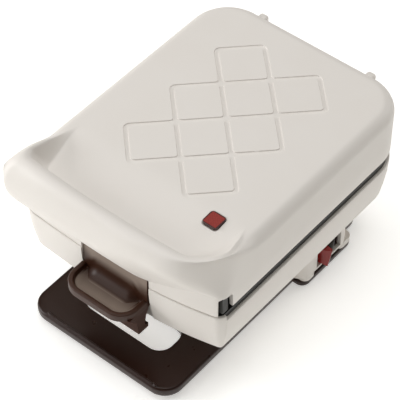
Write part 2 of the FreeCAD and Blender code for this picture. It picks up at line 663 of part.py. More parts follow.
def make_plate(label, flange_low, face, bulge_low, bulge_high):
    """Cast plate: a flat flange with four ring-shaped troughs."""
    arm_x = ("hinge_x - knuckle_width / 2 - 1.2", "hinge_x + knuckle_width / 2 + 1.2")
    flange = tub_solid(label + "_flange", "rim_step", flange_low, f"{flange_low} + flange")
    rings, troughs = [], []
    for i, (sx, sy) in enumerate(((-1, -1), (1, -1), (-1, 1), (1, 1))):
        x = f"{sx} * ring_pitch_x / 2"
        y = f"ring_centre_y + {sy} * ring_pitch_y / 2"
        rings.append(torus(f"{label}_ring_{i}", x, y, face, "ring_minor + plate_skin"))
        troughs.append(torus(f"{label}_trough_{i}", x, y, face, "ring_minor"))
    zone = box(label + "_side", ("-80", "80"), ("-90", "100"), (bulge_low, bulge_high))
    bulges = common(label + "_bulges", fuse(label + "_rings", *rings), zone)
    notches = mirrored(label + "_notch", lambda name, sign: box(
        name, side_span(sign, *arm_x), (f"{HINGE_Y} - 6.2", f"{REAR} + 1"),
        (f"{flange_low} - 1", f"{flange_low} + flange + 1")))
    latch_room = box(label + "_latch_room", span("0", "latch_width + 2 * latch_gap + 2 * wall + 1"),
                     (f"{FRONT} - 1", f"{FRONT} + latch_recess + wall + 0.4"),
                     (f"{flange_low} - 1", f"{flange_low} + flange + 1"))
    done(label, cut(label, fuse(label + "_body", flange, bulges), *troughs, *notches, latch_room))


def make_plates():
    make_plate("lower_plate", FLANGE_LOW, f"({FLANGE_LOW} + flange)",
               f"{FLANGE_LOW} - 2 * ring_minor", f"{FLANGE_LOW} + flange")
    make_plate("upper_plate", FLANGE_HIGH, FLANGE_HIGH, FLANGE_HIGH, f"{FLANGE_HIGH} + 2 * ring_minor")
    for label, low, high, body in (("lower_plate_clips", f"{TUB_RIM} - 10", f"{TUB_RIM} - 0.3", "tub"),
                                   ("upper_plate_clips", f"{LID_RIM} + 0.3", f"{LID_RIM} + 10", "lid")):
        clips = mirrored(label, lambda name, sign: box(
            name, side_span(sign, "8", "20"), (f"{REAR} - wall - 5", f"{REAR} - wall"), (low, high)))
        done(label, group(label, *clips))


# ---------------------------------------------------------------- lid

def lip_profile(name, points, half_width, offset):
    """Side profile swept across a width; the first and third stretches are arcs."""
    under, nose, crest_front, crest_back, throat, hollow, back, foot = [Vector(0, y, z) for y, z in points]
    edges = [Part.Arc(under, nose, crest_front).toShape(), Part.LineSegment(crest_front, crest_back).toShape(),
             Part.Arc(crest_back, throat, hollow).toShape(), Part.LineSegment(hollow, back).toShape(),
             Part.LineSegment(back, foot).toShape(), Part.LineSegment(foot, under).toShape()]
    solid = Part.Face(Part.Wire(edges)).extrude(Vector(2 * half_width, 0, 0))
    solid.translate(Vector(offset - half_width, 0, 0))
    obj = add("Part::Feature", name)
    obj.Shape = solid
    return obj


def lip_block():
    """Front lip: a bulging grip with a finger hollow behind it and a rising rim on each side."""
    front, top, crest = value(FRONT), value(LID_TOP), value(CREST)
    low = value(f"{LID_RIM} + skirt_height")
    nose = front - value("lip_reach")
    back = front + value("lip_depth")
    rim = value("lip_rim")
    start = [(front, low), (nose + 0.3, top - 9), (nose + 4.6, crest), (nose + 7, crest)]
    middle = start + [(nose + 9.6, top + 2), (nose + 17, top - 1.5), (back, top), (back, low)]
    side = start + [(nose + 18, top + 5.5), (nose + 30, top + 1.6), (back, top), (back, low)]
    half = value(HALF)
    parts = [lip_profile("lip_middle", middle, half - rim, 0)]
    parts += [lip_profile(f"lip_rim_{sign}", side, rim / 2, sign * (half - rim / 2)) for sign in (-1, 1)]

    def draw(sketch):
        tub_outline(sketch, HALF, f"{FRONT} - lip_reach", f"{FRONT} + lip_depth + 12", LIP_BOW, "lip_corner", "2")
    plan = pad_body("lip_plan", "XY_Plane", LID_RIM, f"{CREST} + 1 - {LID_RIM}", draw)
    return common("lip_block", fuse("lip_profiles", *parts), plan)


def lip_hollow():
    """The space inside the lip, one wall in from its faces."""
    low = f"{LID_RIM} + skirt_height + wall"
    nose = f"{FRONT} - lip_reach + wall"
    points = [(f"{FRONT} + wall", low), (nose, f"{LID_TOP} - 14"), (nose, f"{LID_TOP} - 4"),
              (f"{nose} + 2.6", f"{LID_TOP} - 1"), (f"{nose} + 5", f"{LID_TOP} - 1.5 - wall"),
              (f"{FRONT} + lip_depth", f"{LID_TOP} - 1.5 - wall"), (f"{FRONT} + lip_depth", low)]
    block = pad_body("lip_hollow_profile", "YZ_Plane", "0", "body_width",
                     lambda sketch: polygon_outline(sketch, points), midplane=True)

    def draw(sketch):
        tub_outline(sketch, f"{HALF} - wall", f"{FRONT} - lip_reach + wall", f"{FRONT} + lip_depth + 12",
                    f"{LIP_BOW} - wall", "lip_corner - wall", "2")
    plan = pad_body("lip_hollow_plan", "XY_Plane", LID_RIM, f"{LID_TOP} - {LID_RIM}", draw)
    return common("lip_hollow", block, plan)


def make_lid():
    outer = round_edges(tub_solid("lid_outer", "0", LID_RIM, LID_TOP), "lid_top_round", "edge_round",
                        at_height(LID_TOP))
    ceiling = f"{LID_TOP} - wall"
    inner = round_edges(tub_solid("lid_inner", "wall", f"{LID_RIM} - 1", ceiling), "lid_inner_round",
                        "edge_round - wall", at_height(ceiling))
    solid = fuse("lid_solid", outer, lip_block())
    hollow = fuse("lid_hollow", inner, lip_hollow())
    shell = cut("lid_hollowed", solid, hollow)
    stand = mirrored("stand_foot", lambda name, sign: round_slab(
        name, span(f"{sign} * stand_foot_x", "stand_foot_width"), (f"{REAR} - wall / 2", "overall_length / 2"),
        (f"{LID_TOP} - 4 - stand_foot_height", f"{LID_TOP} - 4"), "1.8"))
    rib = box("lid_spring_rib", ("rib_x - rib_thickness", "rib_x"), span(RELEASE_Y, "button_width + 1.5"),
              (f"{LID_RIM} + 1", f"{LID_TOP} - wall / 2"))
    cut_half = "(latch_width / 2 + latch_gap)"
    ears = mirrored("latch_ear", lambda name, sign: box(
        name, side_span(sign, f"{cut_half} + 0.2", f"{cut_half} + 5"),
        (f"{LATCH_PIN_Y} - 2", f"{LATCH_PIN_Y} + 3"), (LID_RIM, f"{LATCH_PIN_Z} + 5")))
    posts = [cylinder(f"lid_post_{i}", f"{sign} * boss_x", y, REFLECTOR_HIGH, "boss_radius",
                      "lid_height - wall / 2 - reflector_drop")
             for i, (sign, y) in enumerate(((-1, LID_POST_FRONT), (1, LID_POST_FRONT),
                                            (-1, POST_REAR), (1, POST_REAR)))]
    body = fuse("lid_body", shell, *stand, rib, *ears, *posts)
    cut_out = box("lid_cut_out", (f"-{cut_half}", cut_half), (f"{FRONT} - 2", f"{LATCH_PIN_Y} + 4"),
                  (f"{LID_RIM} - 1", f"{LID_RIM} + skirt_height + 2.6"))
    pin_bore = cylinder("latch_pin_bore", f"-{cut_half} - 4.2", LATCH_PIN_Y, LATCH_PIN_Z, "latch_pin_radius",
                        f"2 * {cut_half} + 8.4", "x")
    window = box("lid_button_window", ("64", f"{HALF} + 1"), span(RELEASE_Y, "button_width + 2 * button_gap"),
                 (f"{LID_RIM} - 1", f"{LID_RIM} + lid_button_rise + lid_button_height + button_gap"))
    side = "lens_side + 2 * lens_gap"
    lens_hole = box("lens_hole", span("lens_x", f"{side} - 2"), span(LENS_Y, f"{side} - 2"),
                    (f"{LID_TOP} - wall - 1", f"{LID_TOP} + 1"))
    lens_seat = box("lens_seat", span("lens_x", side), span(LENS_Y, side),
                    (f"{LID_TOP} - 1.2", f"{LID_TOP} + 4"))
    done("lid_shell", cut("lid_shell", body, cut_out, pin_bore, window, lens_hole, lens_seat))


def make_lid_parts():
    low = f"{LID_TOP} - 1.2"
    lens = round_slab("lens_block", span("lens_x", "lens_side"), span(LENS_Y, "lens_side"),
                      (low, f"{LID_TOP} + lens_proud"), "2")
    done("indicator_lens", lens)
    holder_top = f"{LID_TOP} - wall"
    holder = box("lamp_holder_block", span("lens_x", "12"), span(LENS_Y, "12"),
                 (f"{holder_top} - 7", holder_top))
    well = cylinder("lamp_holder_well", "lens_x", LENS_Y, f"{holder_top} - 8", "3.2", "9")
    done("lamp_holder", cut("lamp_holder", holder, well))
    done("indicator_lamp", cylinder("indicator_lamp", "lens_x", LENS_Y, f"{holder_top} - 9", "2.9", "8.5"))
    # Hinge arms: a knuckle below the rim and a flat tongue screwed to the lid's rear wall.
    def arm(name, sign):
        x = side_span(sign, "hinge_x - knuckle_width / 2", "hinge_x + knuckle_width / 2")
        knuckle = cylinder(name + "_knuckle", x[0], HINGE_Y, HINGE_Z, "knuckle_radius", "knuckle_width", "x")
        tongue = box(name + "_tongue", x, (f"{REAR} - wall - 3.2", f"{REAR} - wall"),
                     (HINGE_Z, f"{LID_RIM} + 14"))
        bore = cylinder(name + "_bore", f"{x[0]} - 1", HINGE_Y, HINGE_Z, "pin_radius + running_gap",
                        "knuckle_width + 2", "x")
        return cut(name, fuse(name + "_solid", knuckle, tongue), bore)
    done("hinge_arms", group("hinge_arms", *mirrored("hinge_arm", arm)))
    pins = mirrored("hinge_pin", lambda name, sign: cylinder(
        name, f"{sign} * hinge_x - 8.3", HINGE_Y, HINGE_Z, "pin_radius", "16.6", "x"))
    done("hinge_pins", group("hinge_pins", *pins))
    screws = []
    for side, sign in (("left", -1), ("right", 1)):
        for i, rise in enumerate((5, 11)):
            screws.append(cylinder(f"arm_screw_{side}_{i}", f"{sign} * hinge_x", f"{REAR} - wall - 5.2",
                                   f"{LID_RIM} + {rise}", "screw_head", "2", "y"))
    done("hinge_screws", group("hinge_screws", *screws))
    high = REFLECTOR_HIGH
    leads = [cylinder("lid_lead_long", "0", "-30", f"{high} + wire_radius", "wire_radius", "110", "y"),
             cylinder("lid_lead_cross", "0", "-30", f"{high} + wire_radius", "wire_radius", "lens_x", "x"),
             cylinder("lid_lead_lamp", "lens_x", LENS_Y, f"{high} + wire_radius", "wire_radius",
                      f"-30 - {LENS_Y} + 1.1", "y")]
    done("lid_leads", fuse("lid_leads", *leads))


def make_latch():
    half = "latch_width / 2"
    x = (f"-{half}", half)
    y = (LATCH_FRONT, f"{LATCH_FRONT} + latch_plate")
    head = f"{LATCH_PIN_Z} + latch_head"
    plate = pad_body("latch_plate", "YZ_Plane", "0", "latch_width", lambda sketch: polygon_outline(sketch, [
        (y[0], "leg_bottom + 18"), (f"{y[1]}", "leg_bottom + 18"), (f"{y[1]} + 1.2", f"{LATCH_PIN_Z} - 4"),
        (f"{LATCH_PIN_Y} + 2.2", LATCH_PIN_Z), (f"{LATCH_PIN_Y} + 1.6", head), (f"{LATCH_PIN_Y} - 1.4", head),
        (y[0], f"{LATCH_PIN_Z} - 1")]), midplane=True)
    leg = pad_body("latch_leg", "YZ_Plane", "0", "latch_width", lambda sketch: polygon_outline(sketch, [
        (y[0], "leg_bottom + 20"), (f"{y[0]} - leg_toe", "leg_bottom"), (f"{y[1]} + 1.4", "leg_bottom + 2.4"),
        (y[1], "leg_bottom + 8"), (y[1], "leg_bottom + 20")]), midplane=True)

    def tray(name, inset, low, high):
        def draw(sketch):
            tub_outline(sketch, f"{half} - ({inset})", f"-overall_length / 2 + ({inset})",
                        f"{LATCH_FRONT} + 1 - ({inset})", "400", f"tray_corner - ({inset})", "1.2")
        return pad_body(name, "XY_Plane", low, f"({high}) - ({low})", draw)
    rim = "tray_rim_z"
    ring = round_edges(tray("latch_tray", "0", f"{rim} - tray_height", rim), "latch_tray_round", "1.2",
                       at_height(f"{rim} - tray_height"))
    dish = tray("latch_dish", "tray_wall", f"{rim} - tray_dish", f"{rim} + 1")
    bore = cylinder("latch_bore", f"-{half} - 1", LATCH_PIN_Y, LATCH_PIN_Z, "latch_pin_radius + running_gap",
                    "latch_width + 2", "x")
    done("latch_lever", cut("latch_lever", fuse("latch_solid", plate, leg, ring), dish, bore))
    reach = f"({half} + latch_gap + 4)"
    done("latch_pin", cylinder("latch_pin", f"-{reach}", LATCH_PIN_Y, LATCH_PIN_Z, "latch_pin_radius",
                               f"2 * {reach}", "x"))


def make_release(label, sign, low, height):
    """Plate release button, pressed inwards against a coil spring on a rib."""
    outer = f"({HALF} - rim_step + 0.5)"
    block = box(label + "_block", side_span(sign, f"{outer} - button_length", outer),
                span(RELEASE_Y, "button_width"), (low, f"{low} + {height}"))
    done(label, block)
    start = f"({outer} - button_length - button_travel - 0.2)"
    length = f"({start} - rib_x)"
    radius, wire = value("spring_radius"), value("spring_wire")
    turns = 3
    free = value(length) - 2 * wire
    helix = Part.makeHelix(free / turns, free, radius)
    start_point = helix.Edges[0].valueAt(helix.Edges[0].FirstParameter)
    tangent = helix.Edges[0].tangentAt(helix.Edges[0].FirstParameter)
    profile = Part.Wire(Part.makeCircle(wire, start_point, tangent))
    coil = Part.Wire(helix.Edges).makePipeShell([profile], True, True)
    spring = add("Part::Feature", label + "_spring")
    spring.Shape = coil
    x = value("rib_x + spring_wire") * sign
    turn = Rotation(Vector(0, 1, 0), 90 * sign)
    spring.Placement = Placement(Vector(x, value(RELEASE_Y), value(f"{low} + {height} / 2")), turn)
    done(label + "_spring", spring)


# ---------------------------------------------------------------- build, check and write

make_base_tub()
make_lower_housing()
make_bottom_plate()
make_feet_and_screws()
make_switch()
make_electrics()
make_heating()
make_plates()
make_lid()
make_lid_parts()
make_latch()
make_release("upper_release", 1, f"{LID_RIM} + lid_button_rise", "lid_button_height")
make_release("lower_release", -1, f"{TUB_RIM} - 1 - button_height", "button_height")
doc.recompute()

for obj in doc.Objects:
    if "Invalid" in obj.State or "Error" in obj.State:
        raise RuntimeError(f"{obj.Name} failed: {obj.State}")
for obj in SUB_PARTS:
    if obj.Shape.isNull() or not obj.Shape.isValid() or not obj.Shape.Solids:
        raise RuntimeError(f"{obj.Label} has no sound shape")

os.makedirs("parts", exist_ok=True)
for obj in SUB_PARTS:
    obj.Shape.exportStep(f"parts/{obj.Label}.step")
    box_now = obj.Shape.BoundBox
    print(f"{obj.Label:22s} solids {len(obj.Shape.Solids):2d} volume {obj.Shape.Volume / 1000:8.2f} cm3  "
          f"z {box_now.ZMin:6.1f} {box_now.ZMax:6.1f}  y {box_now.YMin:7.1f} {box_now.YMax:6.1f}  "
          f"x {box_now.XMin:6.1f} {box_now.XMax:5.1f}")
print(len(SUB_PARTS), "nodes")
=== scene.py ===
"""Compact press-type donut maker: covers, latch, carrying handle, switch and finishes around the fixed frame."""
import math

import bmesh
import bpy
import numpy as np
from mathutils import Matrix, Vector
from mathutils.geometry import delaunay_2d_cdt


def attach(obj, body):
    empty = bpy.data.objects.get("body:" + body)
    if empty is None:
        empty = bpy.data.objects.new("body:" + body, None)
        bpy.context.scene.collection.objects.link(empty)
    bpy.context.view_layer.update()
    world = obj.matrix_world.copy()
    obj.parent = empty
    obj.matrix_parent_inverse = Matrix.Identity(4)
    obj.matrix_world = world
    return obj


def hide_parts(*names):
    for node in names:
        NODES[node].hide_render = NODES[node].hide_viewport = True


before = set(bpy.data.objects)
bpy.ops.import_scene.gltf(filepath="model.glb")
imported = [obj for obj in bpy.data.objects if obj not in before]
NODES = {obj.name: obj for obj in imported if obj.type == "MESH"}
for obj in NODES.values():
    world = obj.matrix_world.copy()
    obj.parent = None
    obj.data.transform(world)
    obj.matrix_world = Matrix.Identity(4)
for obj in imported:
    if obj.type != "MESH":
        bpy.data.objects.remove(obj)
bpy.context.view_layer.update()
MM = 0.001

# Heights and plan sizes that several pieces share, in millimetres.
LID_RIM, SIDE_RIM, LID_TOP, CREST = 72.0, 76.2, 114.0, 123.4
TUB_RIM, FRONT_RIM, TUB_FLOOR = 67.9, 71.6, 36.0
HALF, FRONT, REAR = 75.0, -89.2, 104.5
CUT_HALF = 27.0
NOTCH_Y = (-79.2, -69.4)
NOTCH_TOP, NOTCH_ROUND = 88.0, 2.2
TUB_STEP_Y = -74.6
QUILT_CENTRE, QUILT_HALF = (0.0, 16.5), 21.4
LENS_AT = (46.3, -51.5)
PLATE_LOW, PLATE_HIGH = 2.0, 11.0
TUB_FOOT_ROUND, TRAY_HEIGHT = 7.0, 55.5
NET_STEP, NET_CLEAR = 3.1, 1.6


# ---------------------------------------------------------------- small tools

def ease(t):
    t = np.clip(t, 0, 1)
    return t * t * (3 - 2 * t)


def in_scene(name, data):
    thing = bpy.data.objects.new(name, data)
    bpy.context.scene.collection.objects.link(thing)
    return thing


def make_piece(name, points, faces, material, body, replaces=(), sharp=35):
    """Mesh from points in millimetres, shaded smooth except across edges sharper than the given angle."""
    mesh = bpy.data.meshes.new(name)
    mesh.from_pydata([tuple(float(c) * MM for c in p) for p in points], [], faces)
    mesh.validate()
    mesh.shade_smooth()
    mesh.set_sharp_from_angle(angle=math.radians(sharp))
    piece = in_scene(name, mesh)
    mesh.materials.append(material)
    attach(piece, body)
    if replaces:
        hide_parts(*replaces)
    return piece


def grid_faces(columns, rows, closed=True, flip=False, start=0):
    """Quads between neighbouring columns of points; points run row by row within a column."""
    faces = []
    for i in range(columns if closed else columns - 1):
        k = (i + 1) % columns
        for j in range(rows - 1):
            quad = [start + i * rows + j, start + k * rows + j, start + k * rows + j + 1, start + i * rows + j + 1]
            faces.append(quad[::-1] if flip else quad)
    return faces


def apply_modifiers(piece):
    """Bake a piece's modifiers into its mesh and drop them."""
    graph = bpy.context.evaluated_depsgraph_get()
    made = bpy.data.meshes.new_from_object(piece.evaluated_get(graph), preserve_all_data_layers=True, depsgraph=graph)
    piece.modifiers.clear()
    old = piece.data
    piece.data = made
    bpy.data.meshes.remove(old)
    return piece


def bevelled(piece, width, segments=2, angle=30):
    """Round every edge sharper than an angle."""
    bevel = piece.modifiers.new("round edges", "BEVEL")
    bevel.width = width * MM
    bevel.segments = segments
    bevel.limit_method = "ANGLE"
    bevel.angle_limit = math.radians(angle)
    apply_modifiers(piece)
    piece.data.shade_smooth()
    piece.data.set_sharp_from_angle(angle=math.radians(50))
    return piece


def add_block(points, faces, low, high):
    """Append a block's eight corners and six outward faces."""
    k = len(points)
    points += [(x, y, z) for z in (low[2], high[2]) for y in (low[1], high[1]) for x in (low[0], high[0])]
    faces += [[k + i for i in f] for f in ((0, 2, 3, 1), (4, 5, 7, 6), (0, 1, 5, 4), (2, 6, 7, 3), (0, 4, 6, 2),
                                           (1, 3, 7, 5))]


def round_loop(corners, radii, arc_points):
    """Closed polyline with its corners rounded; corners run counter-clockwise."""
    count, loop = len(corners), []
    for i in range(count):
        before, here, after = [np.array(corners[k % count], float) for k in (i - 1, i, i + 1)]
        a = (before - here) / np.linalg.norm(before - here)
        b = (after - here) / np.linalg.norm(after - here)
        half_angle = math.acos(np.clip(a @ b, -1, 1)) / 2
        reach = radii[i] / math.tan(half_angle)
        middle = here + (a + b) / np.linalg.norm(a + b) * radii[i] / math.sin(half_angle)
        start, end = here + a * reach, here + b * reach
        s, e = start - middle, end - middle
        sweep = math.atan2(s[0] * e[1] - s[1] * e[0], s @ e)
        for t in np.linspace(0, sweep, arc_points):
            c, w = math.cos(t), math.sin(t)
            loop.append(middle + np.array([s[0] * c - s[1] * w, s[0] * w + s[1] * c]))
    return np.array(loop)


def filled_in(loop, longest):
    """Extra points on the long straight stretches of a closed loop."""
    out = []
    for a, b in zip(loop, np.roll(loop, -1, axis=0)):
        steps = max(1, int(math.dist(a, b) / longest))
        out += [a + (b - a) * k / steps for k in range(steps)]
    return np.array(out)


def inside_loop(point, loop):
    x, y = point
    a, b = loop, np.roll(loop, -1, axis=0)
    crosses = (a[:, 1] > y) != (b[:, 1] > y)
    rise = np.where(b[:, 1] == a[:, 1], 1e-9, b[:, 1] - a[:, 1])
    return bool(np.sum(crosses & (x < (b[:, 0] - a[:, 0]) * (y - a[:, 1]) / rise + a[:, 0])) % 2)


def drawn_in(loop, by):
    """Loop moved to the left of its direction: inwards where it runs counter-clockwise."""
    ahead, behind = np.roll(loop, -1, axis=0) - loop, loop - np.roll(loop, 1, axis=0)
    n1, n2 = [np.stack([-d[:, 1], d[:, 0]], 1) / np.linalg.norm(d, axis=1)[:, None] for d in (behind, ahead)]
    n = n1 + n2
    n /= np.linalg.norm(n, axis=1)[:, None]
    return loop + n * by / np.clip(np.sum(n * n1, axis=1), 0.5, 1)[:, None]


def rectangle(x, y, radius, arc_points=8):
    """Rounded rectangle, counter-clockwise."""
    return round_loop([(x[0], y[0]), (x[1], y[0]), (x[1], y[1]), (x[0], y[1])], [radius] * 4, arc_points)


def turned_rows(low, high, round_low, round_high, steps=4):
    """Inset and height pairs up a wall whose lower and upper edges are rounded."""
    rows = [(round_low * (1 - math.sin(t)), low + round_low * (1 - math.cos(t)))
            for t in np.linspace(0, math.pi / 2, steps)]
    return rows + [(round_high * (1 - math.cos(t)), high - round_high * (1 - math.sin(t)))
                   for t in np.linspace(0, math.pi / 2, steps)]


def slab(outer, holes, rows):
    """Closed plate between an outer loop and holes, its walls following (inset, height) rows from bottom to top."""
    points, faces, first = [], [], []
    loops = [outer] + [hole[::-1] for hole in holes]
    for loop in loops:
        start = len(points)
        share = 1.0 if loop is outer else 0.4
        walls = np.stack([np.concatenate([drawn_in(loop, by * share), np.full((len(loop), 1), z)], 1)
                          for by, z in rows], 1)
        points += list(walls.reshape(-1, 3))
        faces += grid_faces(len(loop), len(rows), start=start)
        first.append(start)
    for row, z in ((0, rows[0][1]), (len(rows) - 1, rows[-1][1])):
        plan, edges, index, rings = [], [], [], []
        for loop, start in zip(loops, first):
            base = len(plan)
            mine = [start + i * len(rows) + row for i in range(len(loop))]
            plan += [tuple(points[k][:2]) for k in mine]
            index += mine
            rings.append(np.array(plan[base:]))
            edges += [(base + i, base + (i + 1) % len(loop)) for i in range(len(loop))]
        made, triangles, origin = triangulated(plan, edges)
        for t in triangles:
            middle = np.array(sum((Vector(made[k]) for k in t), Vector((0, 0))) / 3)
            if inside_loop(middle, rings[0]) and not any(inside_loop(middle, r) for r in rings[1:]):
                face = [index[origin[k][0]] for k in t]
                faces.append(face[::-1] if row == 0 else face)
    return points, faces


def triangulated(plan, edges):
    """Triangles over a plan with given edges: the points made, the triangles and where each point came from."""
    made, _, triangles, origin, _, _ = delaunay_2d_cdt([Vector(p) for p in plan], edges, [], 1, 1e-5)
    return made, triangles, origin


def prism(points, faces, profile, x):
    """Append a side profile of (y, z) points swept between two x places; the profile runs clockwise seen from +x."""
    k, n = len(points), len(profile)
    points += [(x[0], y, z) for y, z in profile] + [(x[1], y, z) for y, z in profile]
    faces += [[k + i, k + (i + 1) % n, k + n + (i + 1) % n, k + n + i] for i in range(n)]
    faces += [[k + i for i in range(n)][::-1], [k + n + i for i in range(n)]]


# ---------------------------------------------------------------- plan outlines

def half_outline(at, half, front, bow_depth, corner, rear, rear_corner):
    """Right half of a body's plan: bowed front, straight side, rounded corners.

    Stations run 0-1 over half the front, 1-2 round the front corner, 2-3 down the side, 3-4 round the rear
    corner and 4-5 over half the rear. Gives points and outward normals.
    """
    bow = (half ** 2 + bow_depth ** 2) / (2 * bow_depth)
    bow_y = front + bow
    cx = half - corner
    cy = bow_y - math.sqrt((bow - corner) ** 2 - cx ** 2)
    lean = math.atan2(bow_y - cy, cx)
    leg = np.minimum(at.astype(int), 4)
    t = at - leg
    angle = np.select([leg == 0, leg == 1, leg == 2, leg == 3],
                      [-math.pi / 2 + t * (math.pi / 2 - lean), -lean * (1 - t), 0 * t, t * math.pi / 2], math.pi / 2)
    c, s = np.cos(angle), np.sin(angle)
    inner = half - rear_corner
    x = np.select([leg == 0, leg == 1, leg == 2, leg == 3],
                  [bow * c, cx + corner * c, half + 0 * t, inner + rear_corner * c], inner * (1 - t))
    y = np.select([leg == 0, leg == 1, leg == 2, leg == 3],
                  [bow_y + bow * s, cy + corner * s, cy + t * (rear - rear_corner - cy),
                   rear - rear_corner + rear_corner * s], rear + 0 * t)
    return np.stack([x, y], 1), np.stack([c, s], 1)


def outline(at, half, front, bow_depth, corner, rear, rear_corner, left=None):
    """Closed plan loop and its outward normals; the left half mirrors the right but for its own bow and corner."""
    right, out = half_outline(at, half, front, bow_depth, corner, rear, rear_corner)
    other, other_out = half_outline(at, half, front, *(left or (bow_depth, corner)), rear, rear_corner)
    flip = np.array([-1.0, 1.0])
    return np.concatenate([right, other[-2:0:-1] * flip]), np.concatenate([out, other_out[-2:0:-1] * flip])


def stations(cuts):
    """Stations along half an outline, doubled at each cut (axis, value, front or rear) of the wall's outline."""
    at = np.concatenate([np.linspace(0, 1, 30)[:-1], np.linspace(1, 2, 14)[:-1], np.linspace(2, 3, 66)[:-1],
                         np.linspace(3, 4, 15)[:-1], np.linspace(4, 5, 18)])
    fine = np.linspace(0, 5, 60001)
    wall = outline(fine, *WALL)[0][:len(fine)]
    for axis, value, side in cuts:
        near = wall[:, 1] < 0 if side == "front" else wall[:, 1] > 80
        place = fine[np.argmin(np.abs(wall[:, axis] - value) + np.where(near, 0, 1e3))]
        keep = (np.abs(at - place) > 0.006) | (at == 0) | (at == 5)
        at = np.sort(np.concatenate([at[keep], [place - 0.0004, place + 0.0004]]))
    return at


WALL = (HALF, FRONT, 10.4, 7.0, REAR, 28.0, (2.5, 11.5))
BULGE = (HALF, -101.2, 6.5, 36.0, REAR, 28.0, (0.3, 4.0))
CREST_OUT = (67.4, -93.8, 3.0, 21.0, REAR - 7.6, 20.4, (3.0, 7.0))
CREST_IN = (65.4, -89.4, 2.8, 21.0, REAR - 9.6, 18.4, (2.8, 6.0))
HOLLOW = (58.0, -83.4, 2.6, 22.0, REAR - 12.0, 16.0, (2.6, 7.0))
CREST_SPREAD, HOLLOW_SPREAD = 5.4 / CREST_OUT[0], 5 / HOLLOW[0]


# ---------------------------------------------------------------- finishes

def paint(code):
    """Linear colour of an sRGB hex value."""
    values = [int(code[i:i + 2], 16) / 255 for i in (1, 3, 5)]
    return tuple(v / 12.92 if v <= 0.04045 else ((v + 0.055) / 1.055) ** 2.4 for v in values) + (1.0,)


def add_node(tree, kind, settings=None, inputs=None):
    """Add one node; an input is a value or the output socket that feeds it."""
    node = tree.nodes.new(kind)
    for key, value in (settings or {}).items():
        setattr(node, key, value)
    for key, value in (inputs or {}).items():
        if isinstance(value, bpy.types.NodeSocket):
            tree.links.new(value, node.inputs[key])
        else:
            node.inputs[key].default_value = value
    return node


def blend(tree, factor, a, b):
    """Output socket of a colour between two."""
    return add_node(tree, "ShaderNodeMix", {"data_type": "RGBA"}, {"Factor": factor, "A": a, "B": b}).outputs["Result"]


def start_finish(name):
    material = bpy.data.materials.new(name)
    material.use_nodes = True
    tree = material.node_tree
    tree.nodes.clear()
    place = add_node(tree, "ShaderNodeTexCoord").outputs["Object"]
    return material, tree, place


def per_mm(size):
    """Noise scale whose features are about the given size in millimetres, for coordinates in metres."""
    return 1000.0 / size


def end_finish(tree, shader):
    add_node(tree, "ShaderNodeOutputMaterial", inputs={"Surface": shader.outputs[0]})


def moulded_plastic(name, light, dark, rough, rough_range, grain_mm, grain_depth, specular=0.5):
    """Injection-moulded plastic: an even colour with faint flow clouds, a fine spark-eroded grain, uneven sheen."""
    material, tree, place = start_finish(name)
    clouds = add_node(tree, "ShaderNodeTexNoise", inputs={"Vector": place, "Scale": per_mm(28), "Detail": 3.0})
    tone = blend(tree, clouds.outputs["Fac"], paint(light), paint(dark))
    grain = add_node(tree, "ShaderNodeTexNoise", inputs={"Vector": place, "Scale": per_mm(grain_mm), "Detail": 2.0,
                                                        "Roughness": 0.6})
    wear = add_node(tree, "ShaderNodeTexNoise", inputs={"Vector": place, "Scale": per_mm(9), "Detail": 4.0})
    sheen = add_node(tree, "ShaderNodeMapRange",
                     inputs={"Value": wear.outputs["Fac"], "From Min": 0.3, "From Max": 0.7,
                             "To Min": rough - rough_range, "To Max": rough + rough_range})
    bump = add_node(tree, "ShaderNodeBump", inputs={"Height": grain.outputs["Fac"], "Strength": 0.35,
                                                   "Distance": grain_depth * MM})
    shader = add_node(tree, "ShaderNodeBsdfPrincipled",
                      inputs={"Base Color": tone, "Roughness": sheen.outputs["Result"],
                              "IOR": 1.53, "Specular IOR Level": specular, "Normal": bump.outputs["Normal"]})
    end_finish(tree, shader)
    return material


def brushed_metal(name, colour, rough, stretch, scratch_mm):
    """Drawn or rolled metal: fine scratches along one direction that spread the highlight across them."""
    material, tree, place = start_finish(name)
    along = add_node(tree, "ShaderNodeMapping", inputs={"Vector": place, "Scale": stretch})
    lines = add_node(tree, "ShaderNodeTexNoise", inputs={"Vector": along.outputs["Vector"],
                                                        "Scale": per_mm(scratch_mm), "Detail": 4.0})
    sheen = add_node(tree, "ShaderNodeMapRange", inputs={"Value": lines.outputs["Fac"], "To Min": rough - 0.1,
                                                        "To Max": rough + 0.12})
    bump = add_node(tree, "ShaderNodeBump", inputs={"Height": lines.outputs["Fac"], "Strength": 0.2,
                                                   "Distance": 0.02 * MM})
    shader = add_node(tree, "ShaderNodeBsdfPrincipled",
                      inputs={"Base Color": paint(colour), "Metallic": 1.0, "Roughness": sheen.outputs["Result"],
                              "Normal": bump.outputs["Normal"]})
    end_finish(tree, shader)
    return material


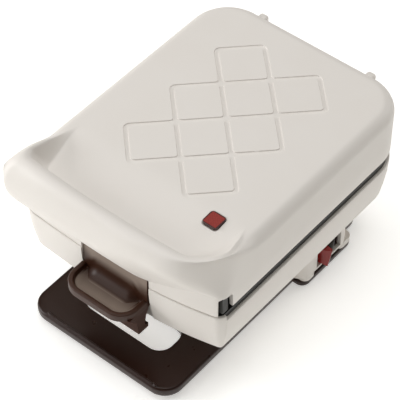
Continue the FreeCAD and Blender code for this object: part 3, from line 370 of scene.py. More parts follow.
def latch_finish():
    """Brown ABS whose tray and plate are spark-eroded to a rougher finish and carry a painted sheen, a paler
    grey-brown standing in for the reflections they catch; the ring and the curve keep the dark brown and a glossier
    finish.
    """
    material, tree, place = start_finish("latch_brown_abs")
    satin = add_node(tree, "ShaderNodeAttribute", {"attribute_name": "satin"}).outputs["Fac"]
    grain = add_node(tree, "ShaderNodeTexNoise", inputs={"Vector": place, "Scale": per_mm(0.45), "Detail": 2.0})
    cloud = add_node(tree, "ShaderNodeTexNoise", inputs={"Vector": place, "Scale": per_mm(12), "Detail": 3.0})
    mottle = add_node(tree, "ShaderNodeMapRange", inputs={"Value": cloud.outputs["Fac"], "To Min": -0.12,
                                                         "To Max": 0.12})
    share = add_node(tree, "ShaderNodeMath", {"operation": "MULTIPLY_ADD", "use_clamp": True},
                     {0: mottle.outputs["Result"], 1: satin, 2: satin})
    # Painted sheen: where the mask reaches 1, the dark brown is mixed towards a pale grey-brown that stands in for
    # reflected light.
    tone = blend(tree, share.outputs[0], paint("#3C2113"), paint("#8E7F74"))
    rough = add_node(tree, "ShaderNodeMapRange", inputs={"Value": satin, "To Min": 0.42, "To Max": 0.6})
    bump = add_node(tree, "ShaderNodeBump", inputs={"Height": grain.outputs["Fac"], "Strength": 0.3,
                                                   "Distance": 0.05 * MM})
    shader = add_node(tree, "ShaderNodeBsdfPrincipled",
                      inputs={"Base Color": tone, "Roughness": rough.outputs["Result"],
                              "IOR": 1.53, "Specular IOR Level": 0.3, "Normal": bump.outputs["Normal"]})
    end_finish(tree, shader)
    return material


# Warm-white ABS with a fine satin texture: reads matt from afar with a broad soft highlight.
CREAM_ABS = moulded_plastic("cream_satin_abs", "#E6E1DB", "#E3DDD6", 0.5, 0.04, 0.55, 0.04)
# Dark brown ABS, polished less than the cream: colour is nearly black in shade and warm where light grazes it.
BROWN_ABS = moulded_plastic("brown_satin_abs", "#2C160E", "#27130B", 0.3, 0.03, 1.5, 0.02, 0.3)
# Brown ABS of the latch, moulded with a slightly lighter tint and a softer sheen; its tray and plate carry a painted
# sheen, a paler colour standing in for reflected light.
LATCH_ABS = latch_finish()
# Black glass-filled nylon for the release tabs and terminal block: dull, a little grey.
BLACK_NYLON = moulded_plastic("black_nylon", "#24231F", "#1A1917", 0.55, 0.05, 0.4, 0.06)
# Red polycarbonate of the rocker: clean gloss, deep colour.
ROCKER_RED = moulded_plastic("rocker_red_pc", "#9A1C18", "#8B1713", 0.22, 0.03, 1.2, 0.01)
# Rocker body in black-brown gloss nylon.
ROCKER_BODY = moulded_plastic("rocker_black_gloss", "#38312E", "#2C2623", 0.2, 0.03, 1.2, 0.01)
# Soft black rubber: no highlight to speak of.
BLACK_RUBBER = moulded_plastic("black_rubber", "#1C1B1A", "#151413", 0.75, 0.05, 0.8, 0.08, 0.3)
# Silicone-sleeved leads.
LEAD_SLEEVE = moulded_plastic("white_silicone_sleeve", "#D9D5CB", "#CFCABF", 0.6, 0.04, 0.8, 0.03)
# Brown phenolic of the thermostat body.
PHENOLIC = moulded_plastic("phenolic_resin", "#5A3A22", "#4A2E1B", 0.5, 0.05, 0.6, 0.05)
# Pale ceramic-filled lamp holder.
LAMP_NYLON = moulded_plastic("white_nylon", "#DCD8CE", "#D2CDC2", 0.5, 0.04, 0.6, 0.04)
# Non-stick coated cast aluminium: dark grey with a faint fleck and a low sheen.
NON_STICK = moulded_plastic("non_stick_coating", "#262522", "#1E1D1B", 0.42, 0.08, 0.35, 0.03)
# Rolled aluminium sheet of the reflectors.
ALUMINIUM = brushed_metal("rolled_aluminium", "#C9CBCC", 0.3, (1.0, 0.04, 1.0), 0.6)
# Zinc-plated steel of screws and clips.
ZINC_STEEL = brushed_metal("zinc_plated_steel", "#B9BABA", 0.35, (1.0, 1.0, 1.0), 0.8)
# Stainless pins and springs.
STAINLESS = brushed_metal("stainless_steel", "#BFBDB8", 0.25, (0.05, 1.0, 1.0), 0.4)
# Oxidised sheath of the heating element: dark, slightly blue-brown metal.
HEATER_SHEATH = brushed_metal("oxidised_heater_sheath", "#5D5A56", 0.5, (1.0, 0.05, 1.0), 0.7)


def lens_border(tree):
    """0 inside the lens and 1 within its outer half millimetre, where the lens is coloured darker."""
    place = add_node(tree, "ShaderNodeTexCoord").outputs["Object"]
    at = add_node(tree, "ShaderNodeSeparateXYZ", inputs={"Vector": place})
    away = []
    for axis, middle in (("X", LENS_AT[0]), ("Y", LENS_AT[1])):
        off = add_node(tree, "ShaderNodeMath", {"operation": "SUBTRACT"}, {0: at.outputs[axis], 1: middle * MM})
        away.append(add_node(tree, "ShaderNodeMath", {"operation": "ABSOLUTE"}, {0: off.outputs[0]}).outputs[0])
    reach = add_node(tree, "ShaderNodeMath", {"operation": "MAXIMUM"}, {0: away[0], 1: away[1]})
    return add_node(tree, "ShaderNodeMapRange", inputs={"Value": reach.outputs[0], "From Min": 4.45 * MM,
                                                        "From Max": 4.75 * MM}).outputs["Result"]


def lens_finish():
    """Tinted polycarbonate lens: saturated red, glossy, with a fine prism pattern moulded on its inner face."""
    material, tree, place = start_finish("red_lens_pc")
    at = add_node(tree, "ShaderNodeMapping", inputs={"Vector": place, "Scale": (1, 1, 0),
                                                    "Rotation": (0, 0, math.radians(45))})
    cells = add_node(tree, "ShaderNodeTexVoronoi", {"distance": "CHEBYCHEV"},
                     {"Vector": at.outputs["Vector"], "Scale": per_mm(1.3), "Randomness": 0.25})
    tone = add_node(tree, "ShaderNodeValToRGB", inputs={"Fac": cells.outputs["Distance"]})
    tone.color_ramp.elements[0].color = paint("#A8382E")
    tone.color_ramp.elements[1].color = paint("#6E140F")
    tone.color_ramp.elements[1].position = 0.75
    rim = blend(tree, lens_border(tree), tone.outputs["Color"], paint("#3A0C0A"))
    bump = add_node(tree, "ShaderNodeBump", inputs={"Height": cells.outputs["Distance"], "Strength": 0.25,
                                                   "Distance": 0.1 * MM})
    shader = add_node(tree, "ShaderNodeBsdfPrincipled",
                      inputs={"Base Color": rim, "Roughness": 0.28, "IOR": 1.58,
                              "Coat Weight": 0.4, "Coat Roughness": 0.1, "Normal": bump.outputs["Normal"]})
    end_finish(tree, shader)
    return material


LENS_RED = lens_finish()


# ---------------------------------------------------------------- lid

def floor_height(y):
    """Height of the lid's top: level behind, sinking into the grip hollow at the front."""
    return LID_TOP - 5.0 * ease((-42.0 - y) / 40.0)


def quilt_loops():
    """Plan loops of the pressed diamond pattern with how deep each lies, 0 at the top and 1 on the channel floor."""
    size = QUILT_HALF
    centre = np.array(QUILT_CENTRE)
    cells = [(-1, -2), (-1, 0), (-1, 2), (0, -1), (0, 1), (1, -2), (1, 0), (1, 2)]
    rim = [(1, -3), (2, -2), (1, -1), (2, 0), (1, 1), (2, 2), (1, 3), (0, 2),
           (-1, 3), (-2, 2), (-1, 1), (-2, 0), (-1, -1), (-2, -2), (-1, -3), (0, -2)]
    loops = []
    for away, depth in ((1.1, 1.0), (1.3, 0.8), (1.5, 0.12), (1.75, 0.0)):
        for cx, cy in cells:
            reach = size - away * math.sqrt(2)
            at = centre + size * np.array([cx, cy])
            corners = [at + reach * np.array(d) for d in ((0, -1), (1, 0), (0, 1), (-1, 0))]
            loops.append((round_loop(corners, [3.4 - away] * 4, 7), depth))
        corners, radii = [], []
        for i, v in enumerate(rim):
            before, after = np.array(rim[i - 1]), np.array(rim[(i + 1) % len(rim)])
            e1, e2 = np.array(v) - before, after - np.array(v)
            n1, n2 = [np.array([e[1], -e[0]]) / np.linalg.norm(e) for e in (e1, e2)]
            convex = e1[0] * e2[1] - e1[1] * e2[0] > 0
            corners.append(centre + size * np.array(v) + away * (n1 + n2))
            radii.append(2.6 + away if convex else 3.4 - away)
        loops.append((round_loop(corners, radii, 7), depth))
    return loops


def lid_skin(at):
    """Rows of the lid's skin, one array of points each: inner wall, rim, wall, bulging lip, crest and hollow."""
    wall, wall_out = outline(at, *WALL)
    bulge, bulge_out = outline(at, *BULGE)
    crest_out, crest_in, foot = outline(at, *CREST_OUT)[0], outline(at, *CREST_IN)[0], outline(at, *HOLLOW)[0]
    for ring in (crest_out, crest_in):
        ring[:, 0] *= 1 + CREST_SPREAD * ease((-46 - ring[:, 1]) / 26) * (ring[:, 0] > 0)
    foot = foot * np.stack([1 + HOLLOW_SPREAD * ease((foot[:, 1] + 79) / 35), np.ones(len(foot))], 1)
    x, y = outline(at, *WALL[:6])[0].T
    n, ax = wall_out, np.abs(x)
    front = y < NOTCH_Y[0]
    cut = (ax < CUT_HALF) & (y < 0)
    frontal = ease(-bulge_out[:, 1])
    # The lip's lower edge runs level on the left and climbs to the notch on the right.
    fold = np.where(x > 0, 77.5 + 11.5 * ease((ax - 15) / 52), 77.5 - 1.5 * ease((ax - 30) / 40))
    left = 0.1 * ease((-x - 20) / 45) * (y < -60) * ease((-45 - y) / 25)
    rim = np.where(front, LID_RIM, SIDE_RIM)
    rim = np.where(cut, fold - 0.9, rim)
    window = (x > 40) & (y > NOTCH_Y[0]) & (y < NOTCH_Y[1])
    edge = np.minimum(y - NOTCH_Y[0], NOTCH_Y[1] - y)
    short = np.clip(NOTCH_ROUND - edge, 0, NOTCH_ROUND)
    rim = np.where(window, NOTCH_TOP - NOTCH_ROUND + np.sqrt(np.clip(NOTCH_ROUND ** 2 - short ** 2, 0, None)), rim)
    fold = np.maximum(fold, rim + 0.9)
    rise = ease((-50.0 - crest_out[:, 1]) / 34.0)
    crest = LID_TOP + (CREST - LID_TOP) * rise
    shoulder = (103.5 + 8.5 * ease(x / 48)) * frontal + (crest - 8.0) * (1 - frontal)
    proud = np.where(front, 0.45, 0.0)

    def level(plan, z):
        return np.concatenate([plan, (z + 0 * x)[:, None]], 1)

    def inward(by):
        return wall - n * (by + 0 * x)[:, None]

    rows = [level(inward(2.5), 104.0), level(inward(2.5), rim + 0.3), level(inward(2.2), rim),
            level(inward(proud + 0.5), rim), level(inward(proud + 0.12), rim + 0.12), level(inward(proud), rim + 0.5),
            level(inward(proud), np.maximum(fold - 0.35 - 2.4 * left, rim + 0.52))]
    base = wall + (bulge - wall) * left[:, None]
    for t in np.linspace(0, 1, 15)[:-1]:
        w = math.sin(t * math.pi / 2) ** 1.15
        rows.append(level(base + (bulge - base) * w, fold + (shoulder - fold) * t))
    power = 2.5 * frontal + 2.0 * (1 - frontal) - 0.6 * ease((-x - 40) / 30) * ease((-58 - y) / 14)
    for t in np.linspace(0, math.pi / 2, 15):
        w = 1 - np.maximum(math.cos(t), 1e-9) ** (2 / power)
        rows.append(level(bulge + (crest_out - bulge) * w[:, None],
                          shoulder + (crest - shoulder) * math.sin(t) ** (2 / power)))
    hollow = floor_height(foot[:, 1])
    inner = crest - 1.6 * rise
    for t in (0.5, 0.85, 1.0):
        rows.append(level(crest_out + (crest_in - crest_out) * t, crest + (inner - crest) * t ** 2))
    for t, drop in ((0.12, 0.2), (0.5, 0.62), (0.8, 0.93), (0.92, 0.985), (1.0, 1.0)):
        rows.append(level(crest_in + (foot - crest_in) * t, inner + (hollow - inner) * drop))
    return rows


def make_lid():
    at = stations([(0, CUT_HALF, "front"), (1, NOTCH_Y[0], "front"), (1, NOTCH_Y[1], "front")])
    rows = lid_skin(at)
    count, depth = len(rows[0]), len(rows)
    faces = grid_faces(count, depth)
    faces.append([i * depth for i in range(count)][::-1])
    points = list(np.stack(rows, 1).reshape(-1, 3))
    # The top inside the crease: channels, lens seat and an even net of points between them.
    plan = [tuple(points[i * depth + depth - 1][:2]) for i in range(count)]
    sunk, on_top = [0.0] * count, [False] * count
    edges = [(i, (i + 1) % count) for i in range(count)]
    hole = [round_loop([np.array(LENS_AT) + half * np.array(d) for d in ((-1, -1), (1, -1), (1, 1), (-1, 1))],
                       [radius] * 4, 7) for half, radius in ((6.45, 2.9), (5.95, 2.5), (5.55, 2.2))]
    loops = [(loop, 0.85 * d, d in (0.0, 1.0)) for loop, d in quilt_loops()]
    loops += [(hole[0], 0.0, True), (hole[1], -0.22, False), (hole[2], 0.25, False)]
    taken = []
    for ring, down, flat in loops:
        ring = filled_in(ring, 3.0)
        first = len(plan)
        plan += [tuple(p) for p in ring]
        sunk += [down] * len(ring)
        on_top += [flat] * len(ring)
        edges += [(first + i, first + (i + 1) % len(ring)) for i in range(len(ring))]
        taken.append(ring)
    taken, edge = np.concatenate(taken), np.array(plan[:count])
    for gx in np.arange(-62, 63, NET_STEP):
        for gy in np.arange(-80, 93, NET_STEP):
            p = np.array([gx, gy])
            if min(np.min(np.linalg.norm(near - p, axis=1)) for near in (taken, edge)) < NET_CLEAR:
                continue
            if max(abs(gx - LENS_AT[0]), abs(gy - LENS_AT[1])) < 5.6 or not inside_loop(p, edge):
                continue
            plan.append((gx, gy))
            sunk.append(0.0)
            on_top.append(True)
    made, triangles, origin = triangulated(plan, edges)
    index, flat_at = {}, set()
    for k, source in enumerate(origin):
        if source and source[0] < count:
            index[k] = source[0] * depth + depth - 1
        else:
            down = sunk[source[0]] if source else 0.0
            index[k] = len(points)
            points.append(np.array([made[k].x, made[k].y, floor_height(made[k].y) - down]))
            if source and on_top[source[0]]:
                flat_at.add(index[k])
    for t in triangles:
        middle = sum((Vector(made[k]) for k in t), Vector((0, 0))) / 3
        if not inside_loop(np.array(middle), hole[2]):
            faces.append([index[k] for k in t])
    # Seat walls down to the lens ledge.
    first, seat = len(points), filled_in(hole[2], 3.0)
    for p in seat:
        points += [np.array([p[0], p[1], floor_height(p[1]) - 0.25]), np.array([p[0], p[1], 111.8])]
    faces += [q[::-1] for q in grid_faces(len(seat), 2, start=first)]
    faces.append([first + 2 * i + 1 for i in range(len(seat))])
    lid = make_piece("lid_cover", points, faces, CREAM_ABS, "lid", ["lid_shell"], 34)
    normals = [v.vector.copy() for v in lid.data.corner_normals]
    for polygon in lid.data.polygons:
        for c in polygon.loop_indices:
            v = lid.data.loops[c].vertex_index
            if v in flat_at:
                y = lid.data.vertices[v].co.y / MM
                slope = (floor_height(y + 0.05) - floor_height(y - 0.05)) / 0.1
                normals[c] = Vector((0, -slope, 1)).normalized()
    lid.data.normals_split_custom_set(normals)


def make_standing_feet():
    """Two small feet behind the hinge, on which the closed appliance can stand on end."""
    points, faces = [], []
    for side in (-42, 42):
        add_block(points, faces, (side - 3.2, REAR - 2, 80), (side + 3.2, 108.5, 110))
    feet = make_piece("standing_feet", points, faces, CREAM_ABS, "lid")
    bevelled(feet, 1.9, 4)


# ---------------------------------------------------------------- tub

def make_tub():
    at = stations([(0, CUT_HALF, "front"), (1, NOTCH_Y[0], "front"), (1, TUB_STEP_Y, "front"), (0, 25.0, "rear"),
                   (0, 35.0, "rear")])
    wall, n = outline(at, *WALL)
    x, y = outline(at, *WALL[:6])[0].T
    x = np.abs(x)
    rim = np.where(y < TUB_STEP_Y, FRONT_RIM, TUB_RIM)
    rim = np.where((x > 25) & (x < 35) & (y > 90), 59.0, rim)
    cut = (x < CUT_HALF) & (y < 0)
    frontal = ease(-n[:, 1])
    draft = 3.7 - 0.9 * (1 - frontal)
    low, foot = TUB_FLOOR, TUB_FOOT_ROUND
    rows = []
    for t in np.linspace(0, math.pi / 2, 9):
        rows.append((draft + foot * (1 - math.sin(t)), low + foot * (1 - math.cos(t))))
    for t in np.linspace(0, 1, 10)[1:]:
        rows.append((draft * (1 - t) ** 1.9, low + foot + (rim - 0.75 - low - foot) * t))
    rows += [(0.12, rim - 0.35), (0.4, rim - 0.1), (0.8, rim), (2.6, rim), (2.9, rim - 0.3), (3.0, rim - 6.0),
             (5.6, 40.0)]
    points = np.zeros((len(wall), len(rows), 3))
    for j, (inset, height) in enumerate(rows):
        inset = inset + 0 * x
        if j > 0:
            inset = np.where(cut, np.maximum(inset, 6.0 + 0.08 * j), inset)
        points[:, j, :2] = wall - n * inset[:, None]
        points[:, j, 2] = height
    faces = grid_faces(len(wall), len(rows))
    faces.append([i * len(rows) for i in range(len(wall))][::-1])
    faces.append([i * len(rows) + len(rows) - 1 for i in range(len(wall))])
    make_piece("tub_cover", points.reshape(-1, 3), faces, CREAM_ABS, "base", ["base_tub"], 34)


# ---------------------------------------------------------------- latch

def make_latch():
    """Latch: a tray-shaped pull with a raised ring, a plate that curves down into it, and a leg with its hook."""
    points, faces = [], []
    ring = filled_in(round_loop([(-25.5, -108.5), (25.5, -108.5), (25.5, -84.2), (-25.5, -84.2)],
                                [13, 13, 1, 1], 14), 4.0)
    rows = [(1.2, 52.6), (0.4, 52.8), (0.0, 53.3), (0.0, 57.6), (0.18, 58.1), (0.6, 58.45), (1.2, 58.5), (2.6, 58.5),
            (3.1, 58.3), (3.45, 57.8), (3.6, 56.7), (3.9, 56.0), (4.4, 55.6), (5.2, TRAY_HEIGHT)]
    walls = np.stack([np.concatenate([drawn_in(ring, by), np.full((len(ring), 1), z)], 1) for by, z in rows], 1)
    points += list(walls.reshape(-1, 3))
    faces += grid_faces(len(ring), len(rows))
    faces.append([i * len(rows) for i in range(len(ring))][::-1])
    faces.append([i * len(rows) + len(rows) - 1 for i in range(len(ring))])
    # The plate, its foot sweeping out over the tray between the ring's arms.
    start = len(points)
    xs = np.concatenate([[-25.4], np.linspace(-25.2, 25.2, 45), [25.4]])
    steps = 18
    for x in xs:
        sweep = 7.5 * (1 - float(ease((abs(x) - 12.5) / 9.5))) + 0.4
        column = [(x, -84.4, 53.6), (x, -84.4, 77.2), (x, -84.9, 77.6), (x, -86.4, 77.6), (x, -86.9, 77.2)]
        top = TRAY_HEIGHT + sweep
        column += [(x, -86.9 - 0.9 * t, 77.2 + (top - 77.2) * t) for t in (0.25, 0.5, 0.75)]
        column += [(x, -87.8 - sweep * (1 - math.cos(a)), top - sweep * math.sin(a))
                   for a in np.linspace(0, math.pi / 2, steps)]
        column.append((x, -87.8 - sweep, 53.6))
        points += column
    height = len(column)
    for i in range(len(xs) - 1):
        for j in range(height):
            k = (j + 1) % height
            faces.append([start + i * height + j, start + i * height + k, start + (i + 1) * height + k,
                          start + (i + 1) * height + j])
    faces.append([start + j for j in range(height)][::-1])
    faces.append([start + (len(xs) - 1) * height + j for j in range(height)])
    # The leg with its hook, flared where it carries the tray.
    prism(points, faces, [(-84.4, 54.4), (-103.0, 53.7), (-96.4, 46.0), (-95.2, 34.6), (-86.6, 34.6), (-86.6, 38.0),
                          (-89.8, 38.4), (-88.4, 46.0)], (-25.0, 25.0))
    latch = make_piece("latch_pull", points, faces, LATCH_ABS, "latch", ["latch_lever"], 40)
    outward(latch)
    flat_shaded(latch)
    # Painted sheen mask: 1 on the plate and on the tray floor, whose colour is painted paler to stand in for
    # reflections; 0 on the ring and the curve.
    satin = latch.data.attributes.new("satin", "FLOAT", "POINT")
    for v, value in zip(latch.data.vertices, satin.data):
        x, y, z = (c / MM for c in v.co)
        on_plate = ease((z - 65.0) / 4.0)
        on_tray = ease((-y - 93.5) / 2.5) * (z < 55.9) * (z > 55.0)
        value.value = float(max(on_plate, on_tray) * (abs(x) < 25.3))


def outward(piece):
    """Turn a piece's faces outwards."""
    mesh = bmesh.new()
    mesh.from_mesh(piece.data)
    bmesh.ops.recalc_face_normals(mesh, faces=mesh.faces)
    mesh.to_mesh(piece.data)
    mesh.free()


# ---------------------------------------------------------------- base plate with the carrying handle

def make_base_plate():
    outer = round_loop([(-56.4, -106.6), (56.4, -106.6), (56.4, 86.0), (-56.4, 86.0)], [13.5, 13.5, 10, 10], 12)
    holes = [rectangle((-33, 33), (-84.6, -60.4), 9.5), rectangle((-10, 10), (58, 62), 1.9, 6)]
    holes += [rectangle((x - 3.8, x + 3.8), (y - 3.8, y + 3.8), 3.79, 7) for x, y, _ in spots_of("base_screws")]
    points, faces = slab(filled_in(outer, 6.0), [filled_in(hole, 6.0) for hole in holes],
                         turned_rows(PLATE_LOW, PLATE_HIGH, 4.6, 1.9, 7))
    # The tongue under the switch.
    tongue = rectangle((50, 64), (16.5, 68.5), 6, 10)
    add_slab(points, faces, tongue, turned_rows(PLATE_LOW, 7.0, 1.8, 1.2, 5))
    # A raised bead along the front of the grip, with a short stop at each end.
    add_bead(points, faces, np.array([(-39.0, -104.7), (42.5, -104.7)]), 1.0, PLATE_HIGH - 0.35, 1.15)
    for x in (-40.6, 44.3):
        add_bead(points, faces, np.array([(x - 0.8, -104.0), (x + 0.8, -104.6)]), 0.9, PLATE_HIGH - 0.35, 1.0)
    flat_shaded(make_piece("base_plate", points, faces, BROWN_ABS, "base", ["bottom_plate"], 40))
    # The housing's two swellings run on down to the tongue, before and behind the switch.
    points, faces = [], []
    for y in ((18.0, 29.4), (53.0, 67.0)):
        add_slab(points, faces, rectangle((50, 64.45), y, 4.5, 8), turned_rows(6.8, 11.6, 0.3, 0.05, 3))
    make_piece("switch_aprons", points, faces, CREAM_ABS, "base")


def add_slab(points, faces, outer, rows):
    """Append a plain slab to a piece in the making."""
    start = len(points)
    more, more_faces = slab(outer, [], rows)
    points += more
    faces += [[start + k for k in face] for face in more_faces]


def flat_shaded(piece):
    """Let a piece's broad faces set the shading normals, so that they look flat up to their rounded edges."""
    weigh = piece.modifiers.new("flat faces", "WEIGHTED_NORMAL")
    weigh.keep_sharp = True
    weigh.weight = 100
    return apply_modifiers(piece)


def add_bead(points, faces, ends, half, low, rise):
    """Append a half-round bead between two plan points."""
    start, (a, b) = len(points), ends
    along = (b - a) / np.linalg.norm(b - a)
    across = np.array([-along[1], along[0]])
    sections = [(-half, 0.05), (-half * 0.7, 0.7), (-half * 0.3, 0.95), (0.0, 1.0)]
    sections += [(math.dist(a, b) - s, size) for s, size in sections[::-1]]
    ring = 9
    for s, size in sections:
        for t in np.linspace(0, math.pi, ring):
            p = a + along * s + across * half * size * math.cos(t)
            points.append((p[0], p[1], low + rise * size * math.sin(t)))
    for i in range(len(sections) - 1):
        for j in range(ring - 1):
            k = start + i * ring + j
            faces.append([k, k + ring, k + ring + 1, k + 1])
        faces.append([start + i * ring, start + i * ring + ring - 1, start + (i + 1) * ring + ring - 1,
                      start + (i + 1) * ring])
    faces.append([start + j for j in range(ring)])
    faces.append([start + (len(sections) - 1) * ring + j for j in range(ring)][::-1])


# ---------------------------------------------------------------- switch

def make_rocker():
    """Rocker whose slanting ridge parts a red half, in front, from a black one."""
    halves = (("rocker_front", ROCKER_RED, "red_rocker", ["rocker"],
               [(57.0, 32.2), (62.0, 32.0), (69.6, 32.9), (69.4, 34.0), (57.0, 40.4)],
               [(57.0, 32.2), (61.0, 32.1), (69.2, 37.7), (69.0, 38.8), (57.0, 40.4)]),
              ("rocker_rear", ROCKER_BODY, "dark_plastic", [],
               [(57.0, 40.6), (69.2, 34.3), (68.8, 35.6), (62.2, 50.4), (57.0, 50.4)],
               [(57.0, 40.6), (68.8, 39.1), (68.3, 40.2), (62.2, 50.4), (57.0, 50.4)]))
    for name, material, slot, replaced, low, high in halves:
        points = [(x, y, z) for profile, z in ((low, 13.8), (high, 24.6)) for x, y in profile]
        n = len(low)
        faces = [list(range(n))[::-1], list(range(n, 2 * n))]
        faces += [[i, (i + 1) % n, n + (i + 1) % n, n + i] for i in range(n)]
        bevelled(make_piece(name, points, faces, material, "rocker", replaced), 0.4, 3)


# ---------------------------------------------------------------- screws and feet, by geometry nodes

def spots_of(node):
    """Centre of the box round each separate screw or foot in a node, read from its mesh."""
    mesh = NODES[node].data
    spots = []
    for v in mesh.vertices:
        p = np.array(v.co) / MM
        for spot in spots:
            if math.dist(spot[0][:2], p[:2]) < 12 and abs(spot[0][2] - p[2]) < 16:
                spot.append(p)
                break
        else:
            spots.append([p])
    return [tuple((np.min(s, axis=0) + np.max(s, axis=0)) / 2) for s in spots]


def node_tree(name, inputs):
    """Empty geometry tree with named inputs; gives the tree and each input's identifier."""
    tree = bpy.data.node_groups.new(name, "GeometryNodeTree")
    tree.interface.new_socket("Geometry", in_out="INPUT", socket_type="NodeSocketGeometry")
    tree.interface.new_socket("Geometry", in_out="OUTPUT", socket_type="NodeSocketGeometry")
    keys = {}
    for label, kind, value in inputs:
        socket = tree.interface.new_socket(label, in_out="INPUT", socket_type=kind)
        if value is not None:
            socket.default_value = value
        keys[label] = socket.identifier
    return tree, keys


def times(tree, value, by):
    """Output socket of a value multiplied by a number."""
    return add_node(tree, "ShaderNodeMath", {"operation": "MULTIPLY"}, {0: value, 1: by}).outputs[0]


def put_on_points(tree, entry, cut, more=None):
    """End a tree: the cut mesh on every point, made real and given its finish."""
    placed = add_node(tree, "GeometryNodeInstanceOnPoints", inputs={"Points": entry.outputs["Geometry"],
                                                                   "Instance": cut.outputs["Mesh"], **(more or {})})
    real = add_node(tree, "GeometryNodeRealizeInstances", inputs={"Geometry": placed.outputs["Instances"]})
    done = add_node(tree, "GeometryNodeSetMaterial", inputs={"Geometry": real.outputs["Geometry"],
                                                            "Material": entry.outputs["Finish"]})
    add_node(tree, "NodeGroupOutput", inputs={"Geometry": done.outputs["Geometry"]})


def pan_head_tree():
    """A pan head with a cross recess on each point: a low dome cut by two crossed bars."""
    tree, keys = node_tree("pan_head_screws", [("Head Radius", "NodeSocketFloat", 0.003),
                                              ("Head Height", "NodeSocketFloat", 0.002),
                                              ("Finish", "NodeSocketMaterial", None),
                                              ("Turn", "NodeSocketRotation", None)])
    entry = add_node(tree, "NodeGroupInput")
    radius, height = entry.outputs["Head Radius"], entry.outputs["Head Height"]
    dome = add_node(tree, "GeometryNodeMeshUVSphere", inputs={"Segments": 28, "Rings": 14, "Radius": 1.0})
    size = add_node(tree, "ShaderNodeCombineXYZ", inputs={"X": radius, "Y": radius, "Z": height})
    head = add_node(tree, "GeometryNodeTransform", inputs={"Geometry": dome.outputs["Mesh"],
                                                          "Scale": size.outputs["Vector"]})
    bars, long_side, thin_side = [], times(tree, radius, 1.15), times(tree, radius, 0.24)
    for x, y in ((long_side, thin_side), (thin_side, long_side)):
        bar_size = add_node(tree, "ShaderNodeCombineXYZ", inputs={"X": x, "Y": y, "Z": height})
        bar = add_node(tree, "GeometryNodeMeshCube", inputs={"Size": bar_size.outputs["Vector"]})
        lift = add_node(tree, "ShaderNodeCombineXYZ", inputs={"Z": height})
        bars.append(add_node(tree, "GeometryNodeTransform", inputs={"Geometry": bar.outputs["Mesh"],
                                                                   "Translation": lift.outputs["Vector"]}))
    cut = add_node(tree, "GeometryNodeMeshBoolean", {"operation": "DIFFERENCE", "solver": "EXACT"},
                   {"Mesh 1": head.outputs["Geometry"]})
    for bar in bars:
        tree.links.new(bar.outputs["Geometry"], cut.inputs["Mesh 2"])
    put_on_points(tree, entry, cut, {"Rotation": entry.outputs["Turn"]})
    return tree, keys


def ringed_foot_tree():
    """A turned rubber foot on each point: a short cylinder with a dimple in its sole."""
    tree, keys = node_tree("rubber_feet", [("Radius", "NodeSocketFloat", 0.006), ("Height", "NodeSocketFloat", 0.002),
                                           ("Finish", "NodeSocketMaterial", None)])
    entry = add_node(tree, "NodeGroupInput")
    radius, height = entry.outputs["Radius"], entry.outputs["Height"]
    body = add_node(tree, "GeometryNodeMeshCylinder", inputs={"Vertices": 40, "Radius": radius, "Depth": height})
    dimple = add_node(tree, "GeometryNodeMeshUVSphere", inputs={"Segments": 32, "Rings": 16, "Radius": 1.0})
    wide = times(tree, radius, 0.62)
    size = add_node(tree, "ShaderNodeCombineXYZ", inputs={"X": wide, "Y": wide, "Z": times(tree, height, 0.35)})
    low = add_node(tree, "ShaderNodeCombineXYZ", inputs={"Z": times(tree, height, -0.5)})
    tool = add_node(tree, "GeometryNodeTransform", inputs={"Geometry": dimple.outputs["Mesh"],
                                                          "Scale": size.outputs["Vector"],
                                                          "Translation": low.outputs["Vector"]})
    cut = add_node(tree, "GeometryNodeMeshBoolean", {"operation": "DIFFERENCE", "solver": "EXACT"},
                   {"Mesh 1": body.outputs["Mesh"], "Mesh 2": tool.outputs["Geometry"]})
    put_on_points(tree, entry, cut)
    return tree, keys


def grown(name, places, tree, keys, values, body, replaces=()):
    """Piece grown by a geometry tree on the given places, baked to a plain mesh."""
    mesh = bpy.data.meshes.new(name)
    mesh.from_pydata([tuple(c * MM for c in p) for p in places], [], [])
    piece = in_scene(name, mesh)
    modifier = piece.modifiers.new(name, "NODES")
    modifier.node_group = tree
    for label, value in values.items():
        modifier[keys[label]] = value
    apply_modifiers(piece)
    piece.data.shade_smooth()
    piece.data.set_sharp_from_angle(angle=math.radians(35))
    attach(piece, body)
    if replaces:
        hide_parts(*replaces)
    return piece


def make_fixings():
    tree, keys = pan_head_tree()
    heads = [(x, y, 6.4) for x, y, _ in spots_of("base_screws")]
    grown("base_screw_heads", heads, tree, keys,
          {"Head Radius": 3.3 * MM, "Head Height": 1.6 * MM, "Finish": ZINC_STEEL, "Turn": (math.pi, 0.0, 0.4)},
          "base")
    tree, keys = ringed_foot_tree()
    feet = [(x, y, 1.0) for x, y, _ in spots_of("rubber_feet")]
    grown("ringed_feet", feet, tree, keys, {"Radius": 6.0 * MM, "Height": 2.0 * MM, "Finish": BLACK_RUBBER},
          "base", ["rubber_feet"])


make_lid()
make_standing_feet()
make_tub()
make_latch()
make_base_plate()
make_rocker()
make_fixings()


# ---------------------------------------------------------------- finishes on the carried-over pieces

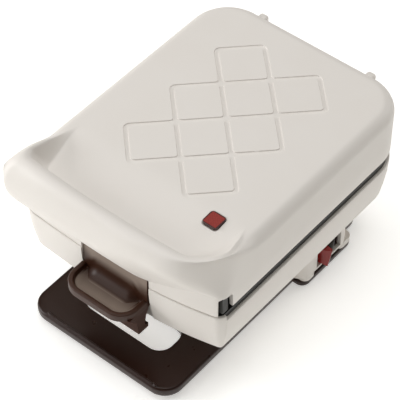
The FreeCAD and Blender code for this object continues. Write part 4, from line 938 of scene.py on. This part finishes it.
NODE_FINISH = {
    CREAM_ABS: ["lower_housing"],
    BROWN_ABS: ["switch_bezel", "switch_body"],
    BLACK_NYLON: ["terminal_block", "upper_release", "lower_release", "thermal_fuse"],
    BLACK_RUBBER: ["cord_gland"],
    LEAD_SLEEVE: ["base_leads", "lid_leads"],
    PHENOLIC: ["thermostat"],
    LAMP_NYLON: ["lamp_holder"],
    NON_STICK: ["lower_plate", "upper_plate"],
    ALUMINIUM: ["lower_reflector", "upper_reflector"],
    ZINC_STEEL: ["base_screws", "hinge_screws", "lower_plate_clips", "upper_plate_clips", "lower_heater_clips",
                 "upper_heater_clips", "hinge_arms"],
    STAINLESS: ["hinge_pins", "latch_pin", "upper_release_spring", "lower_release_spring"],
    HEATER_SHEATH: ["upper_heater", "lower_heater"],
    LENS_RED: ["indicator_lens", "indicator_lamp"],
}
for finish, names in NODE_FINISH.items():
    for name in names:
        slots = NODES[name].material_slots
        if not slots:
            NODES[name].data.materials.append(finish)
        for one in slots:
            one.material = finish


# ---------------------------------------------------------------- floor, light and camera

def make_stage():
    mesh = bpy.data.meshes.new("floor")
    size = 3.0
    mesh.from_pydata([(-size, -size, 0), (size, -size, 0), (size, size, 0), (-size, size, 0)], [], [(0, 1, 2, 3)])
    floor = in_scene("floor", mesh)
    material, tree, place = start_finish("pale_floor")
    cloud = add_node(tree, "ShaderNodeTexNoise", inputs={"Vector": place, "Scale": 3.0})
    tone = blend(tree, cloud.outputs["Fac"], paint("#F7F7F6"), paint("#F4F4F3"))
    shader = add_node(tree, "ShaderNodeBsdfPrincipled", inputs={"Base Color": tone,
                                                               "Roughness": 0.9, "Emission Color": (1, 0.99, 0.96, 1),
                                                               "Emission Strength": 0.46})
    end_finish(tree, shader)
    mesh.materials.append(material)
    world = bpy.data.worlds.new("soft_room")
    world.use_nodes = True
    world.node_tree.nodes["Background"].inputs["Color"].default_value = (1.0, 0.95, 0.86, 1.0)
    world.node_tree.nodes["Background"].inputs["Strength"].default_value = 0.15
    bpy.context.scene.world = world


def add_light(name, place, target, size, power, colour=(1, 1, 1)):
    data = bpy.data.lights.new(name, "AREA")
    data.shape = "RECTANGLE"
    data.size, data.size_y = size
    data.energy = power
    data.color = colour
    light = in_scene(name, data)
    light.location = place
    light.rotation_mode = "QUATERNION"
    light.rotation_quaternion = (Vector(target) - Vector(place)).to_track_quat("-Z", "Y")


make_stage()
add_light("top_softbox", (-0.1, 0.15, 1.5), (0, 0, 0.1), (1.1, 1.1), 11.3, (0.98, 0.99, 1.0))
add_light("left_softbox", (-1.12, -0.9, 0.5), (0, 0, 0.08), (0.9, 0.7), 12.4, (0.98, 0.99, 1.0))
add_light("edge_strip", (-0.52, -0.46, 1.05), (0, 0, 0.02), (0.7, 0.14), 1.8)
add_light("rear_softbox", (0.6, 1.3, 0.7), (0, 0, 0.08), (0.6, 0.5), 3)
bpy.context.scene.view_settings.view_transform = "Standard"

camera = in_scene("camera", bpy.data.cameras.new("camera"))
camera.data.lens = 165.0
camera.data.sensor_width = 36.0
right, up, back = (0.7710, 0.6369, 0.0), (-0.4708, 0.5699, 0.6734), (0.4289, -0.5192, 0.7392)
camera.matrix_world = Matrix(((right[0], up[0], back[0], 0.4815), (right[1], up[1], back[1], -0.5910),
                              (right[2], up[2], back[2], 0.8918), (0, 0, 0, 1)))
bpy.context.scene.camera = camera
